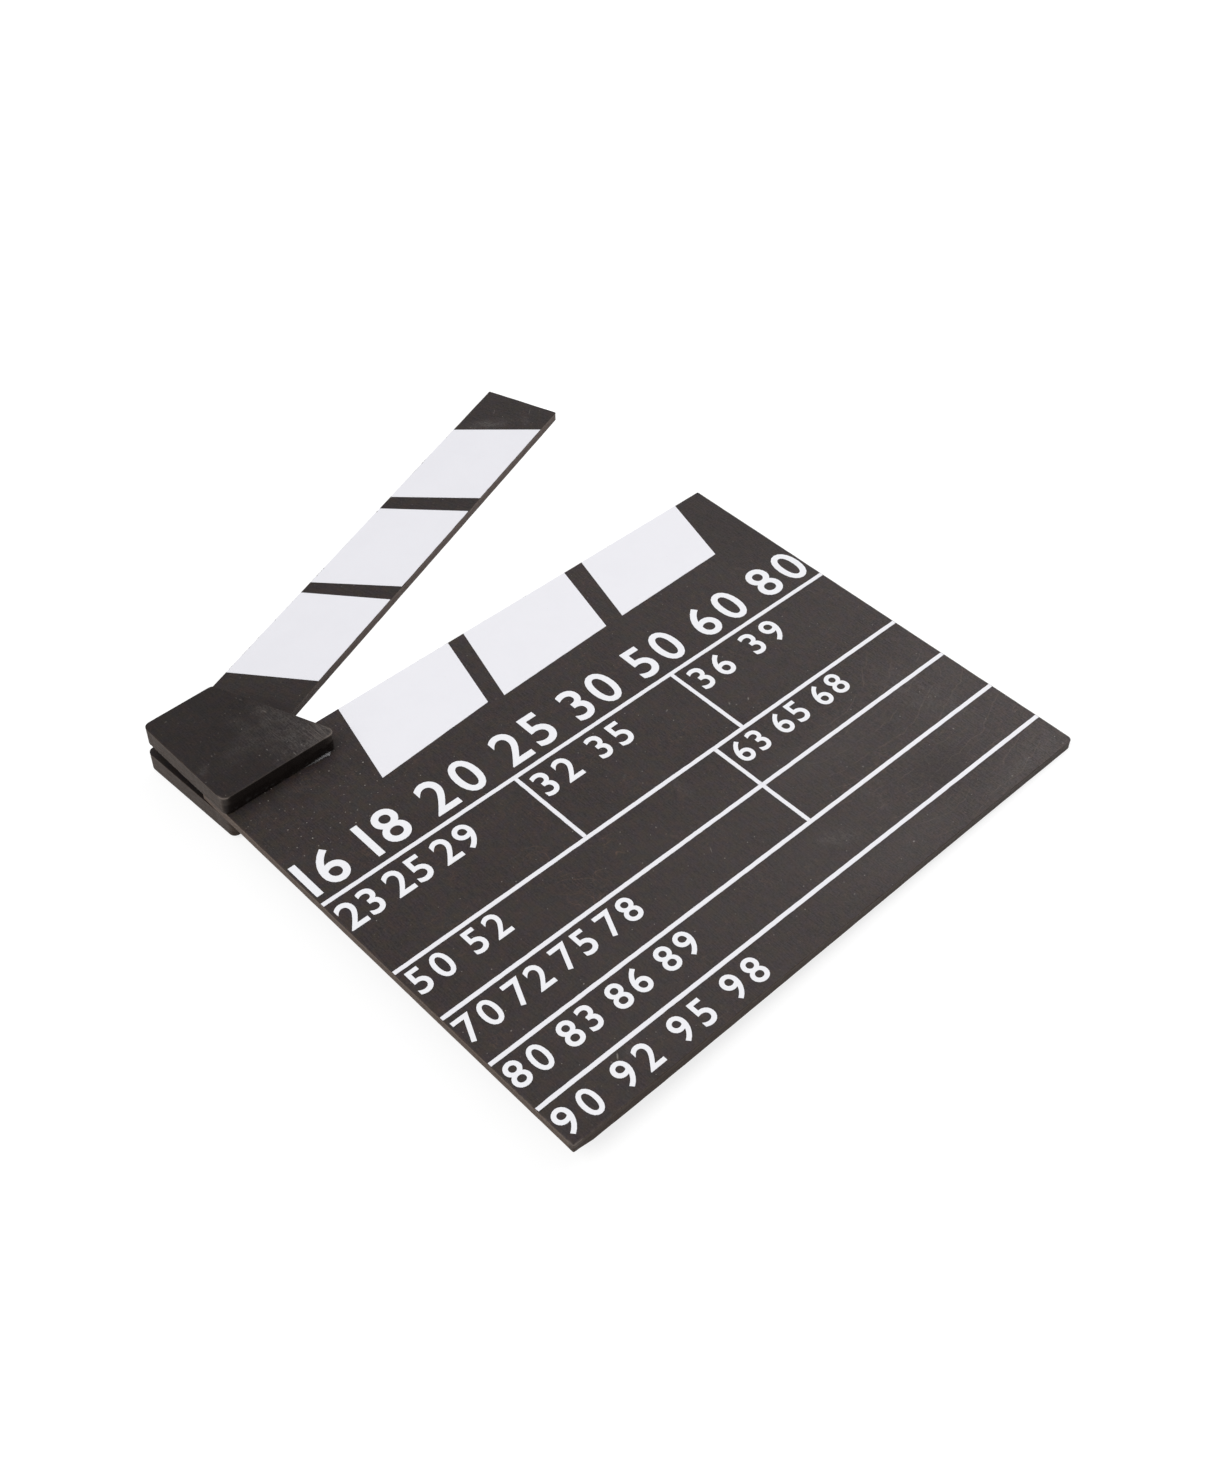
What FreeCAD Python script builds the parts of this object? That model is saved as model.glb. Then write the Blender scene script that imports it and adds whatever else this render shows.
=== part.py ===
import FreeCAD, Part
import math
import os
from FreeCAD import Vector

# A hinged clapperboard of black-stained plywood, lying on its back with the stick open.
# Drawn in slate coordinates, in millimetres: X from the slate's left edge, Y from its bottom edge,
# Z from the rear cheek's back face. Each piece is then moved so that the origin is where the
# pin's axis meets that back face.

# Slate board
BOARD_W = 300.0
BOARD_T = 4.5
BLUNT_CORNER_R = 2.5        # the knocked lower right corner
ARRIS_R = 0.25              # sanded edge of every plywood piece

# Clap stick, cut from the same sheet as the board
STICK_W = 40.6
STICK_OVERHANG = 2.0        # how far the closed stick passes the board's right edge
STICK_OPEN_DEG = 20.0
CLAP_GAP = 0.3              # between the closed stick and the board's top edge
HEEL_FLAT = 8.6             # straight stretch between the two rounded corners behind the pin

# Hinge: two cheeks glued over the board's upper left corner, and the dowel between them
CHEEK_T = 9.5
CHEEK_FOOT_W = 60.0
CHEEK_HEAD_W = 36.5
CHEEK_OVERLAP = 19.0        # how far the cheeks reach down over the board
CHEEK_CORNER_R = 3.0
FRONT_CHEEK_PROUD = 0.95    # glued on by hand: out past the board's left edge, and askew
FRONT_CHEEK_SKEW_DEG = 0.4
REAR_CHEEK_PROUD = 1.4
REAR_CHEEK_SKEW_DEG = 2.7
GLUE_T = 0.2                # glue film, which also gives the stick its side play
GLUE_INSET = 0.6
DOWEL_R = 3.0
DOWEL_INSET = 20.0          # from the slate's left edge to the dowel's axis
DOWEL_COVER = 3.2           # wood left between each blind dowel hole and the cheek's outer face
DOWEL_CHAMFER = 0.5
SEAT_CLEARANCE = 0.03
RUNNING_CLEARANCE = 0.08
HOLE_END_GAP = 0.3

# Dried glue squeezed out below the front cheek
BEAD_LENGTH = 15.0
BEAD_R = 1.4
BEAD_END_INSET = 1.6        # from the cheek's lower right corner

# White vinyl film
FILM_T = 0.1
RULE_W = 2.1
ROW_HEIGHTS = (21.5, 26.5, 28.2, 29.2, 46.1)    # from the bottom edge up, rule to rule
HEADER_H = 38.25            # from the top rule to the deepest stripe
LEFT_DIVIDER_INSET = 103.0  # dividing lines: the first from the left edge, the others from the right
RIGHT_DIVIDER_INSET = 102.5
LOWER_DIVIDER_INSET = 121.2

# Slanted film stripes, cut by hand: on the board they lean left going down, on the stick they lean
# right. Cuts are the stripes' widths over their mean width. Depths and leans are those of the left and
# the right edge of each stripe.
BOARD_STRIPE_START = 12.6   # from the cheek's foot to the first stripe
BOARD_STRIPE_END = 16.3     # from the last stripe to the board's right edge
BOARD_STRIPE_GAPS = (9.4, 11.3)
BOARD_STRIPE_CUTS = (0.997, 0.997, 1.006)
BOARD_STRIPE_DEPTHS = ((46.0, 41.7), (43.4, 41.0), (40.9, 39.5))
BOARD_STRIPE_LEANS_DEG = ((13.7, 15.1), (16.0, 14.6), (15.7, 16.2))
STICK_STRIPE_START = 38.7   # along the stick's upper edge, from the dowel
STICK_STRIPE_END = 38.4     # from the last stripe to the stick's tip
STICK_STRIPE_GAPS = (8.3, 10.4)
STICK_STRIPE_CUTS = (0.984, 1.005, 1.011)
STICK_STRIPE_LEANS_DEG = ((19.9, 20.9), (23.6, 25.0), (26.4, 27.9))

# Levels and places that follow from the sizes above
BOARD_H = sum(ROW_HEIGHTS) + HEADER_H + max(max(pair) for pair in BOARD_STRIPE_DEPTHS) + ARRIS_R
BOARD_Z = CHEEK_T + GLUE_T
FACE_Z = BOARD_Z + BOARD_T
FRONT_CHEEK_Z = FACE_Z + GLUE_T
CHEEK_FOOT_Y = BOARD_H - CHEEK_OVERLAP
STICK_LOW_Y = BOARD_H + CLAP_GAP
STICK_TOP_Y = STICK_LOW_Y + STICK_W
DOWEL_Y = STICK_LOW_Y + STICK_W / 2
STICK_TIP_X = BOARD_W + STICK_OVERHANG
HEEL_R = (STICK_W - HEEL_FLAT) / 2      # the heel clears the board's top edge at every angle
DOWEL_HOLE_DEPTH = CHEEK_T - DOWEL_COVER
DOWEL_SEAT = DOWEL_HOLE_DEPTH - HOLE_END_GAP
RULE_YS = [sum(ROW_HEIGHTS[:k + 1]) for k in range(len(ROW_HEIGHTS))]
UP = Vector(0, 0, 1)
DOWEL_AXIS = Vector(DOWEL_INSET, DOWEL_Y, 0)


def rectangle(left, low, right, high):
    return [(left, low), (right, low), (right, high), (left, high)]


def plate(corners, z, thickness):
    """Prism of the given plan corners, standing on height z."""
    points = [Vector(x, y, z) for x, y in corners]
    outline = Part.makePolygon(points + points[:1])
    return Part.Face(outline).extrude(UP * thickness)


def upright_edges(solid, keep=lambda point: True):
    """The solid's edges along Z whose plan position passes the test."""
    found = []
    for edge in solid.Edges:
        ends = [vertex.Point for vertex in edge.Vertexes]
        if len(ends) == 2 and ends[0].sub(ends[1]).cross(UP).Length < 1e-6 and keep(ends[0]):
            found.append(edge)
    return found


def sanded(solid):
    """Round the edges of the plate's front and back faces, as sanding leaves them."""
    flats = [face for face in solid.Faces if abs(face.normalAt(0, 0).z) > 0.999]
    rims = [edge for face in flats for edge in face.OuterWire.Edges]
    return solid.makeFillet(ARRIS_R, rims)


def dowel_hole(z, depth, clearance):
    """Round hole for the dowel, from height z upward."""
    return Part.makeCylinder(DOWEL_R + clearance, depth, DOWEL_AXIS + UP * z, UP)


def film(corners):
    """Piece of vinyl film stuck to the front face of the board or the stick."""
    return plate(corners, FACE_Z, FILM_T)


def opened(shape):
    """The closed stick's piece, turned about the dowel to the stick's resting angle."""
    return shape.rotated(DOWEL_AXIS, UP, STICK_OPEN_DEG)


def make_board():
    sheet = plate(rectangle(0, 0, BOARD_W, BOARD_H), BOARD_Z, BOARD_T)
    lower_right = upright_edges(sheet, lambda point: point.x > BOARD_W / 2 and point.y < BOARD_H / 2)
    return sanded(sheet.makeFillet(BLUNT_CORNER_R, lower_right))


def make_stick():
    bar = plate(rectangle(DOWEL_INSET - HEEL_R, STICK_LOW_Y, STICK_TIP_X, STICK_TOP_Y), BOARD_Z, BOARD_T)
    heel = upright_edges(bar, lambda point: point.x < DOWEL_INSET)
    bar = sanded(bar.makeFillet(HEEL_R, heel))
    return opened(bar.cut(dowel_hole(BOARD_Z, BOARD_T, RUNNING_CLEARANCE)))


def cheek_block(z, thickness):
    """Trapezoid hinge cheek, its head level with the closed stick's upper edge."""
    corners = [(0, CHEEK_FOOT_Y), (CHEEK_FOOT_W, CHEEK_FOOT_Y),
               (CHEEK_HEAD_W, STICK_TOP_Y), (0, STICK_TOP_Y)]
    block = plate(corners, z, thickness)
    return block.makeFillet(CHEEK_CORNER_R, upright_edges(block))


def as_front_cheek(shape):
    """Put a shape drawn flush with the board where the front cheek was glued."""
    return shape.translated(Vector(-FRONT_CHEEK_PROUD, 0, 0)).rotated(DOWEL_AXIS, UP, FRONT_CHEEK_SKEW_DEG)


def as_rear_cheek(shape):
    """Put a shape drawn flush with the board where the rear cheek was glued."""
    return shape.translated(Vector(-REAR_CHEEK_PROUD, 0, 0)).rotated(DOWEL_AXIS, UP, REAR_CHEEK_SKEW_DEG)


def make_front_cheek():
    block = as_front_cheek(sanded(cheek_block(FRONT_CHEEK_Z, CHEEK_T)))
    return block.cut(dowel_hole(FRONT_CHEEK_Z, DOWEL_HOLE_DEPTH, SEAT_CLEARANCE))


def make_rear_cheek():
    block = as_rear_cheek(sanded(cheek_block(0, CHEEK_T)))
    return block.cut(dowel_hole(DOWEL_COVER, DOWEL_HOLE_DEPTH, SEAT_CLEARANCE))


def make_dowel():
    low = CHEEK_T - DOWEL_SEAT
    high = FRONT_CHEEK_Z + DOWEL_SEAT
    rod = Part.makeCylinder(DOWEL_R, high - low, DOWEL_AXIS + UP * low, UP)
    rims = [edge for edge in rod.Edges if edge.Curve.TypeId == "Part::GeomCircle"]
    return rod.makeChamfer(DOWEL_CHAMFER, rims)


def make_glue_film(z, as_cheek):
    """Glue where a cheek lies on the board, kept back from the edges of both."""
    on_board = rectangle(GLUE_INSET, GLUE_INSET, BOARD_W - GLUE_INSET, BOARD_H - GLUE_INSET)
    glue = plate(on_board, z, GLUE_T)
    cheek = cheek_block(z, GLUE_T)
    for dx in (GLUE_INSET, -GLUE_INSET):
        glue = glue.common(as_cheek(cheek.translated(Vector(dx, GLUE_INSET, 0))))
    return glue


def make_glue_bead():
    """Quarter spindle of dried glue in the corner between the board and the cheek's foot."""
    end = Vector(CHEEK_FOOT_W - CHEEK_CORNER_R - BEAD_END_INSET, CHEEK_FOOT_Y, FACE_Z)
    start = end - Vector(BEAD_LENGTH, 0, 0)
    crown = (start + end) * 0.5 - Vector(0, BEAD_R, 0)
    profile = Part.Wire([Part.Arc(start, crown, end).toShape(), Part.LineSegment(end, start).toShape()])
    return as_front_cheek(Part.Face(profile).revolve(start, Vector(-1, 0, 0), 90))


def rule(y):
    return film(rectangle(ARRIS_R, y - RULE_W / 2, BOARD_W - ARRIS_R, y + RULE_W / 2))


def divider(x, low_rule, high_rule):
    """Upright line that fills the space between two rules, counted from the bottom."""
    low, high = RULE_YS[low_rule] + RULE_W / 2, RULE_YS[high_rule] - RULE_W / 2
    return film(rectangle(x - RULE_W / 2, low, x + RULE_W / 2, high))


def stripe_spans(start, end, gaps, cuts):
    """Stripes that fill the length from start to end but for the gaps, as (left, right) pairs."""
    unit = (end - start - sum(gaps)) / sum(cuts)
    lefts = [start + unit * sum(cuts[:k]) + sum(gaps[:k]) for k in range(len(cuts))]
    return [(left, left + unit * cut) for left, cut in zip(lefts, cuts)]


def slope(lean_deg):
    return math.tan(math.radians(lean_deg))


def board_stripes():
    top = BOARD_H - ARRIS_R
    spans = stripe_spans(CHEEK_FOOT_W + BOARD_STRIPE_START, BOARD_W - BOARD_STRIPE_END,
                         BOARD_STRIPE_GAPS, BOARD_STRIPE_CUTS)
    stripes = []
    for (left, right), depths, leans in zip(spans, BOARD_STRIPE_DEPTHS, BOARD_STRIPE_LEANS_DEG):
        low_left = left - depths[0] * slope(leans[0])
        low_right = right - depths[1] * slope(leans[1])
        corners = [(left, top), (low_left, top - depths[0]), (low_right, top - depths[1]), (right, top)]
        stripes.append(film(corners))
    return stripes


def stick_stripes():
    low, top = STICK_LOW_Y + ARRIS_R, STICK_TOP_Y - ARRIS_R
    spans = stripe_spans(DOWEL_INSET + STICK_STRIPE_START, STICK_TIP_X - STICK_STRIPE_END,
                         STICK_STRIPE_GAPS, STICK_STRIPE_CUTS)
    stripes = []
    for (left, right), leans in zip(spans, STICK_STRIPE_LEANS_DEG):
        low_left = left + (top - low) * slope(leans[0])
        low_right = right + (top - low) * slope(leans[1])
        stripes.append(opened(film([(left, top), (low_left, low), (low_right, low), (right, top)])))
    return stripes


def all_pieces():
    pieces = {
        "slate_board": make_board(),
        "clap_stick": make_stick(),
        "front_cheek": make_front_cheek(),
        "rear_cheek": make_rear_cheek(),
        "pivot_dowel": make_dowel(),
        "front_glue_film": make_glue_film(FACE_Z, as_front_cheek),
        "rear_glue_film": make_glue_film(CHEEK_T, as_rear_cheek),
        "glue_bead": make_glue_bead(),
        "left_divider": divider(LEFT_DIVIDER_INSET, 3, 4),
        "right_divider": divider(BOARD_W - RIGHT_DIVIDER_INSET, 3, 4),
        "lower_divider_top": divider(BOARD_W - LOWER_DIVIDER_INSET, 2, 3),
        "lower_divider_bottom": divider(BOARD_W - LOWER_DIVIDER_INSET, 1, 2),
    }
    for number, y in enumerate(RULE_YS, 1):
        pieces[f"rule_{number}"] = rule(y)
    for number, stripe in enumerate(board_stripes(), 1):
        pieces[f"board_stripe_{number}"] = stripe
    for number, stripe in enumerate(stick_stripes(), 1):
        pieces[f"stick_stripe_{number}"] = stripe
    return pieces


os.makedirs("parts", exist_ok=True)
for name, shape in all_pieces().items():
    shape.translate(DOWEL_AXIS * -1)
    shape.exportStep(f"parts/{name}.step")
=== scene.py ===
"""Dresses the packed clapperboard: stained plywood, white vinyl film, dried glue, and a studio around it.

Lengths are in millimetres where MM hasn't yet turned them into the frame's metres. Places on the slate are
given from the lower left corner of the board's face, X to the right and Y up the face.
"""

import inspect
import math

import bpy
import numpy as np
from mathutils import Matrix, Quaternion, Vector


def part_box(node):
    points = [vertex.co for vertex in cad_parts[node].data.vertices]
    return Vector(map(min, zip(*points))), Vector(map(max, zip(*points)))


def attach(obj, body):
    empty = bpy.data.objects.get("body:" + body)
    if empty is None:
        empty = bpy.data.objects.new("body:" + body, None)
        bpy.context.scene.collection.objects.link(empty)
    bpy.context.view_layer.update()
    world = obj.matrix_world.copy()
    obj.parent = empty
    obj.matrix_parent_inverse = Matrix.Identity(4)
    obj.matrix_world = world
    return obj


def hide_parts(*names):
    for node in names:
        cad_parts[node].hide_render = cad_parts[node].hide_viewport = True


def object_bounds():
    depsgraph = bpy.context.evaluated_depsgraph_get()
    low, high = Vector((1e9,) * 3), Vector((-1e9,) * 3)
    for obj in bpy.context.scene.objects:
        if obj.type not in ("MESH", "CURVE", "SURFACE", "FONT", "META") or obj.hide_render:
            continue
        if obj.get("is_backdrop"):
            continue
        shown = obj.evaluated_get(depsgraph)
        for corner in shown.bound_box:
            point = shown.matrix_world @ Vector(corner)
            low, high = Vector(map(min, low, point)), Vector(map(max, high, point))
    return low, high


bl_info = {
    "name": "Clapperboard Dressing",
    "version": (1, 0, 0),
    "blender": (4, 5, 0),
    "location": "3D View > Sidebar > Clapperboard",
    "description": "Builds the visible pieces and finishes of a plywood clapperboard around its CAD frame",
    "category": "Object",
}

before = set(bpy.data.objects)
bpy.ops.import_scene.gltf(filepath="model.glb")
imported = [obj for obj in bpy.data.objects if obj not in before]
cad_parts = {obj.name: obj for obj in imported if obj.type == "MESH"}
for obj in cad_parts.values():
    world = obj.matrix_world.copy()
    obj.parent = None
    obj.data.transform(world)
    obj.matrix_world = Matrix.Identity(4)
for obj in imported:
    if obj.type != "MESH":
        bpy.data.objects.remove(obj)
CAD_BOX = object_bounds()
MM = 0.001

# Places taken from the frame
BOARD_LOW, BOARD_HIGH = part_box("slate_board")
CHEEK_LOW, CHEEK_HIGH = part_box("front_cheek")
REAR_LOW, REAR_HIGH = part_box("rear_cheek")
RULE_LOW, RULE_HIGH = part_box("rule_1")
FACE_Z = BOARD_HIGH.z
BOARD_THICKNESS = BOARD_HIGH.z - BOARD_LOW.z
CHEEK_THICKNESS = CHEEK_HIGH.z - CHEEK_LOW.z
FILM_THICKNESS = RULE_HIGH.z - RULE_LOW.z
SAW_ALLOWANCE = 1.0         # the bottom edge is sawn askew, and the face's corner lies this far inside it
SLATE_CORNER = np.array([BOARD_LOW.x, BOARD_LOW.y + SAW_ALLOWANCE * MM, FACE_Z])
DOWEL_X, DOWEL_Y = 20.0, 255.6
STICK_OPEN = math.radians(20)
FOOT_Y = 216.2              # front cheek's foot

RULES = [f"rule_{number}" for number in range(1, 6)]
DIVIDERS = ["left_divider", "right_divider", "lower_divider_top", "lower_divider_bottom"]
BOARD_STRIPES = [f"board_stripe_{number}" for number in range(1, 4)]
STICK_STRIPES = [f"stick_stripe_{number}" for number in range(1, 4)]

# Clouds in the stain: their size, the levels of noise between which they set in, and their strength
CLOUDS = ((28, 0.36, 0.68, 0.25), (4, 0.4, 0.7, 0.22))

# The stain's hue drifts between two tints over a length, once from cool to warm and once from green to mauve
HUE_DRIFTS = (
    (4.0, (0.94, 1.0, 1.12), (1.08, 1.0, 0.86)),
    (6.5, (0.94, 1.025, 0.95), (1.06, 0.975, 1.05)),
)

# Marks are given as place on the slate, angle in degrees, half length, half width and strength.
# Broad worn patches on the front cheek, and small pale knocks
CHEEK_SCUFFS = (
    (51, 223, 20, 30, 27, 0.58),
    (30, 237, 10, 28, 9, 0.26),
    (30, 248, 100, 11, 6, 0.22),
    (43, 246, 100, 14, 8, 0.36),
    (3, 236, 30, 6, 4, 0.22),
)
CHEEK_KNOCKS = (
    (42.9, 247.2, 100, 1.9, 0.6, 0.20),
    (39.4, 260.2, 110, 1.4, 0.5, 0.12),
    (38.6, 262.3, 90, 0.8, 0.4, 0.14),
    (7.6, 270.8, 0, 0.9, 0.6, 0.12),
    (10.6, 240.5, 90, 0.9, 0.35, 0.20),
    (12.2, 240.6, 90, 0.8, 0.3, 0.15),
    (16.8, 262.3, 0, 0.6, 0.4, 0.08),
    (30.2, 227.7, 100, 0.9, 0.4, 0.26),
    (25.9, 227.1, 0, 0.6, 0.5, 0.24),
    (29.5, 224.3, 20, 0.8, 0.35, 0.14),
    (37.6, 217.8, 90, 1.6, 0.4, 0.24),
    (30.0, 219.5, 90, 0.9, 0.5, 0.17),
    (42.8, 220.2, 60, 1.0, 0.6, 0.18),
    (39.4, 225.7, 20, 0.9, 0.3, 0.18),
    (0.2, 229.6, 0, 0.5, 0.4, 0.24),
)

# On the slate: broad worn patches, faded stain that is also painted sheen towards the lower right, and small
# pale knocks and scratches
SLATE_SCUFFS = (
    (283, 9, 10, 40, 12, 0.22),
    (272, 66, 100, 40, 18, 0.32),
    (45, 17, 35, 11, 4, 0.40),
    (152, 100, 95, 16, 5, 0.20),
    (210, 40, 80, 22, 7, 0.15),
    (30, 209, 0, 36, 7, 0.16),
    (181, 33, 150, 14, 7, 0.45),
    (266, 5, 0, 44, 7, 0.20),
)
SLATE_FADED = (
    (130, 30, 0, 220, 95, 0.10),
    (192, 12, 0, 50, 18, 0.12),
    (218, 71, 0, 62, 18, 0.12),
    (165, 35, 0, 50, 18, 0.05),
    (292, 70, 90, 40, 12, 0.08),
)
SLATE_KNOCKS = (
    (136.6, 64.6, 60, 2.6, 0.35, 0.22),
    (38.2, 17.2, 50, 2.2, 0.5, 0.45),
    (34.8, 16.8, 120, 0.8, 0.4, 0.30),
    (36.9, 14.9, 30, 1.0, 0.4, 0.30),
    (51.5, 50.4, 0, 0.5, 0.4, 0.60),
    (16.4, 53.1, 0, 0.6, 0.5, 0.40),
    (20.3, 50.5, 0, 0.5, 0.4, 0.35),
    (265.9, 40.9, 0, 0.6, 0.5, 0.45),
    (275.6, 59.3, 60, 0.8, 0.5, 0.26),
    (262.6, 5.4, 0, 0.6, 0.5, 0.40),
    (202.5, 10.2, 0, 0.7, 0.5, 0.60),
    (212.3, 115.6, 50, 1.3, 0.6, 0.40),
    (203.8, 119.2, 60, 1.3, 0.6, 0.30),
    (205.6, 116.6, 0, 0.7, 0.5, 0.26),
    (180.0, 135.0, 20, 1.4, 0.6, 0.22),
    (128.4, 89.0, 60, 0.7, 0.4, 0.40),
    (138.6, 119.0, 30, 2.0, 1.0, 0.06),
    (163.0, 8.4, 0, 0.6, 0.5, 0.30),
)

# Dark splits in the slate's veneer, and dirt with a painted contact shadow beside the front cheek; and where
# the stain is denser, with a broad painted shade over the top right corner
SLATE_DIRT = (
    (188.6, 134.0, 95, 3.6, 0.4, 0.70),
    (190.2, 145.2, 88, 4.2, 0.5, 0.70),
    (190.6, 139.5, 80, 3.0, 0.3, 0.50),
    (205.2, 123.8, 70, 1.6, 0.7, 0.50),
    # Painted contact shadow, with some glue, beside the front cheek's right side
    (57.5, 220.5, 90, 9.0, 5.0, 0.85),
)
SLATE_STAINS = (
    # Broad painted shade over the top right corner, where the face catches less sheen
    (296, 205, 100, 60, 40, 0.40),
    (19, 208, 80, 9, 5, 0.35),
    (46, 210, 70, 7, 4, 0.30),
    (31, 203, 20, 8, 4, 0.25),
    (61, 205, 80, 12, 6, 0.25),
    (243, 29, 0, 26, 16, 0.50),
)

# Worn patches, scratches, denser stain and a painted shadow of the front cheek on the stick, as it lies open
STICK_SCUFFS = (
    (259, 349.5, -35, 17, 5.5, 0.62),
    (275, 338.5, 60, 6, 3, 0.36),
    (66, 268, -20, 9, 6, 0.12),
)
STICK_KNOCKS = (
    (268, 355.5, 40, 3.0, 0.35, 0.16),
    (282, 343, 40, 3.5, 0.35, 0.16),
    (134, 296, 80, 0.8, 0.5, 0.20),
)
STICK_STAINS = (
    # Painted shadow of the front cheek on the stick beside it
    (53, 256, -67, 17, 6, 0.50),
    (276, 352, 40, 12, 8, 0.20),
)

# Where the front cheek's edges are chipped and where they are rubbed: place on the slate, reach and amount
CHEEK_CHIPS = ((56.1, 217.5, 5.0, 0.25), (-0.1, 217.5, 4.0, 0.25), (-0.9, 246.0, 1.6, 0.45))
CHEEK_RUBBED = ((56.8, 217.6, 5.0, 1.1), (-0.4, 217.2, 4.0, 1.1), (53.6, 227.0, 8.0, 0.4))

# Depth of the saw cut above the board's lowest level, along X, at the face and at the back
BOTTOM_CUT_X = (0.0, 3.0, 9.0, 40.0, 70.0, 100.0, 150.0, 200.0, 250.0, 300.0)
FACE_CUT = (1.0, 1.0, 0.9, 0.9, 0.9, 1.0, 1.25, 1.55, 1.7, 1.8)
BACK_CUT = (1.0, 0.85, 0.1, 0.1, 0.25, 0.5, 0.95, 1.4, 1.7, 1.8)

# Growth rings in the slate's veneer: focus of the arches, how widely they spread, and their spacing
RING_FOCUS = (237.0, 93.6, 0.0)
RING_SPREAD = 0.82
RING_SPACING = 8.6

# Middles of the front cheek's sanded corner, and of the slate's rings, cracks and fallen dust
SANDED_CORNER = (54.0, 220.0, 0.0)
RING_REGION = (254.0, 44.0, 0.0)
CRACK_REGION = (96.0, 98.0, 0.0)
DUST_REGION = (32.0, 198.0, 0.0)

# Numbers of white film: text, left and right end, baseline and height
NUMBER_ROWS = (
    ("16 18 20 25 30 50 60 80", 1.2, 298.5, 155.2, 20.0),
    ("23 25 29", 1.2, 71.0, 131.8, 14.5),
    ("32 35", 107.0, 159.0, 131.8, 14.5),
    ("36 39", 202.5, 257.5, 131.8, 14.5),
    ("50 52", 2.0, 49.5, 88.5, 13.0),
    ("63 65 68", 183.0, 253.0, 88.5, 13.0),
    ("70 72 75 78", 1.2, 94.0, 58.5, 13.0),
    ("80 83 86 89", 1.2, 99.0, 30.5, 13.0),
    ("90 92 95 98", 1.2, 109.5, 3.2, 13.0),
)


# Places and noise

def on_slate(x, y):
    """Place on the slate's face in millimetres, as a point of the frame in metres."""
    return SLATE_CORNER + np.array([x, y, 0.0]) * MM


def slate_plan(points):
    """X and Y on the slate in millimetres, for any array of points of the frame."""
    return np.moveaxis((points[..., :2] - SLATE_CORNER[:2]) / MM, -1, 0)


def smooth_step(low, high, value):
    """0 below low, 1 above high, and the cubic 3t^2 - 2t^3 between them."""
    t = np.clip((value - low) / (high - low), 0.0, 1.0)
    return t * t * (3.0 - 2.0 * t)


def fade(low, high, value):
    """1 below low, 0 above high, and a smooth step down between them."""
    return 1 - smooth_step(low, high, value)


def near(points, x, y, reach):
    """1 at a place on the slate, falling to 0 at the given reach, for any array of points."""
    plan_x, plan_y = slate_plan(points)
    return fade(0.3 * reach, reach, np.sqrt((plan_x - x) ** 2 + (plan_y - y) ** 2))


def unit(vectors):
    """Rows of vectors, each brought to length 1."""
    return vectors / np.linalg.norm(vectors, axis=1, keepdims=True)


def upper_half(rings):
    """0 on the lower half of a plate's rings and 1 on the upper half."""
    z = rings[..., 2]
    return np.where(z > (z.min() + z.max()) / 2, 1.0, 0.0)


def wander(count, step, wavelength, seed):
    """Smooth periodic noise along a line, about 0 with a spread of 1.

    White noise whose frequencies are damped by a Gaussian, so that waves shorter than wavelength die out."""
    noise = np.random.default_rng(seed).standard_normal(count)
    waves = np.fft.fftfreq(count, step) * wavelength
    smooth = np.fft.ifft(np.fft.fft(noise) * np.exp(-0.5 * waves ** 2)).real
    return (smooth - smooth.mean()) / smooth.std()


# Meshes

CAP_THINNING = 8            # an inner ring of a cap keeps one point in so many
CAP_SHARES = (0.06, 0.35)   # how far each inner ring is drawn towards the middle


def mesh_points(mesh):
    """All vertices of a mesh, one to a row."""
    points = np.empty(len(mesh.vertices) * 3)
    mesh.vertices.foreach_get("co", points)
    return points.reshape(-1, 3)


def mesh_object(name, points, faces, *materials):
    """New object of points and faces, with its materials."""
    mesh = bpy.data.meshes.new(name)
    mesh.from_pydata(points.tolist(), [], faces)
    for material in materials:
        mesh.materials.append(material)
    made = bpy.data.objects.new(name, mesh)
    bpy.context.scene.collection.objects.link(made)
    return made


def ring_quads(rows, count):
    """Corner numbers of the quads between neighbouring rings, where each ring closes on itself."""
    row, column = np.meshgrid(np.arange(rows - 1), np.arange(count), indexing="ij")
    after = (column + 1) % count
    quads = np.stack((row * count + column, row * count + after,
                      (row + 1) * count + after, (row + 1) * count + column), axis=-1)
    return quads.reshape(-1, 4).tolist()


def cap_mesh(ring, first, start):
    """Inner points, numbered from start, and faces that fill a flat ring whose points count from first.

    Each inner ring keeps every eighth point of the ring around it and draws it towards the middle. A face
    joins nine points of one ring to two of the next, and one face fills the innermost ring."""
    middle = ring.mean(axis=0)
    numbers = first + np.arange(len(ring))
    points, faces = [ring[:0]], []
    shares = CAP_SHARES if len(ring) % CAP_THINNING ** len(CAP_SHARES) == 0 else ()
    for share in shares:
        inner = ring[::CAP_THINNING] * (1 - share) + middle * share
        inner_numbers = start + np.arange(len(inner))
        spans = np.arange(len(inner))[:, None] * CAP_THINNING + np.arange(CAP_THINNING + 1)
        outer = numbers[spans % len(ring)]
        faces += np.column_stack((outer, np.roll(inner_numbers, -1), inner_numbers)).tolist()
        points.append(inner)
        ring, numbers, start = inner, inner_numbers, start + len(inner)
    return np.concatenate(points), faces + [numbers.tolist()]


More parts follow.
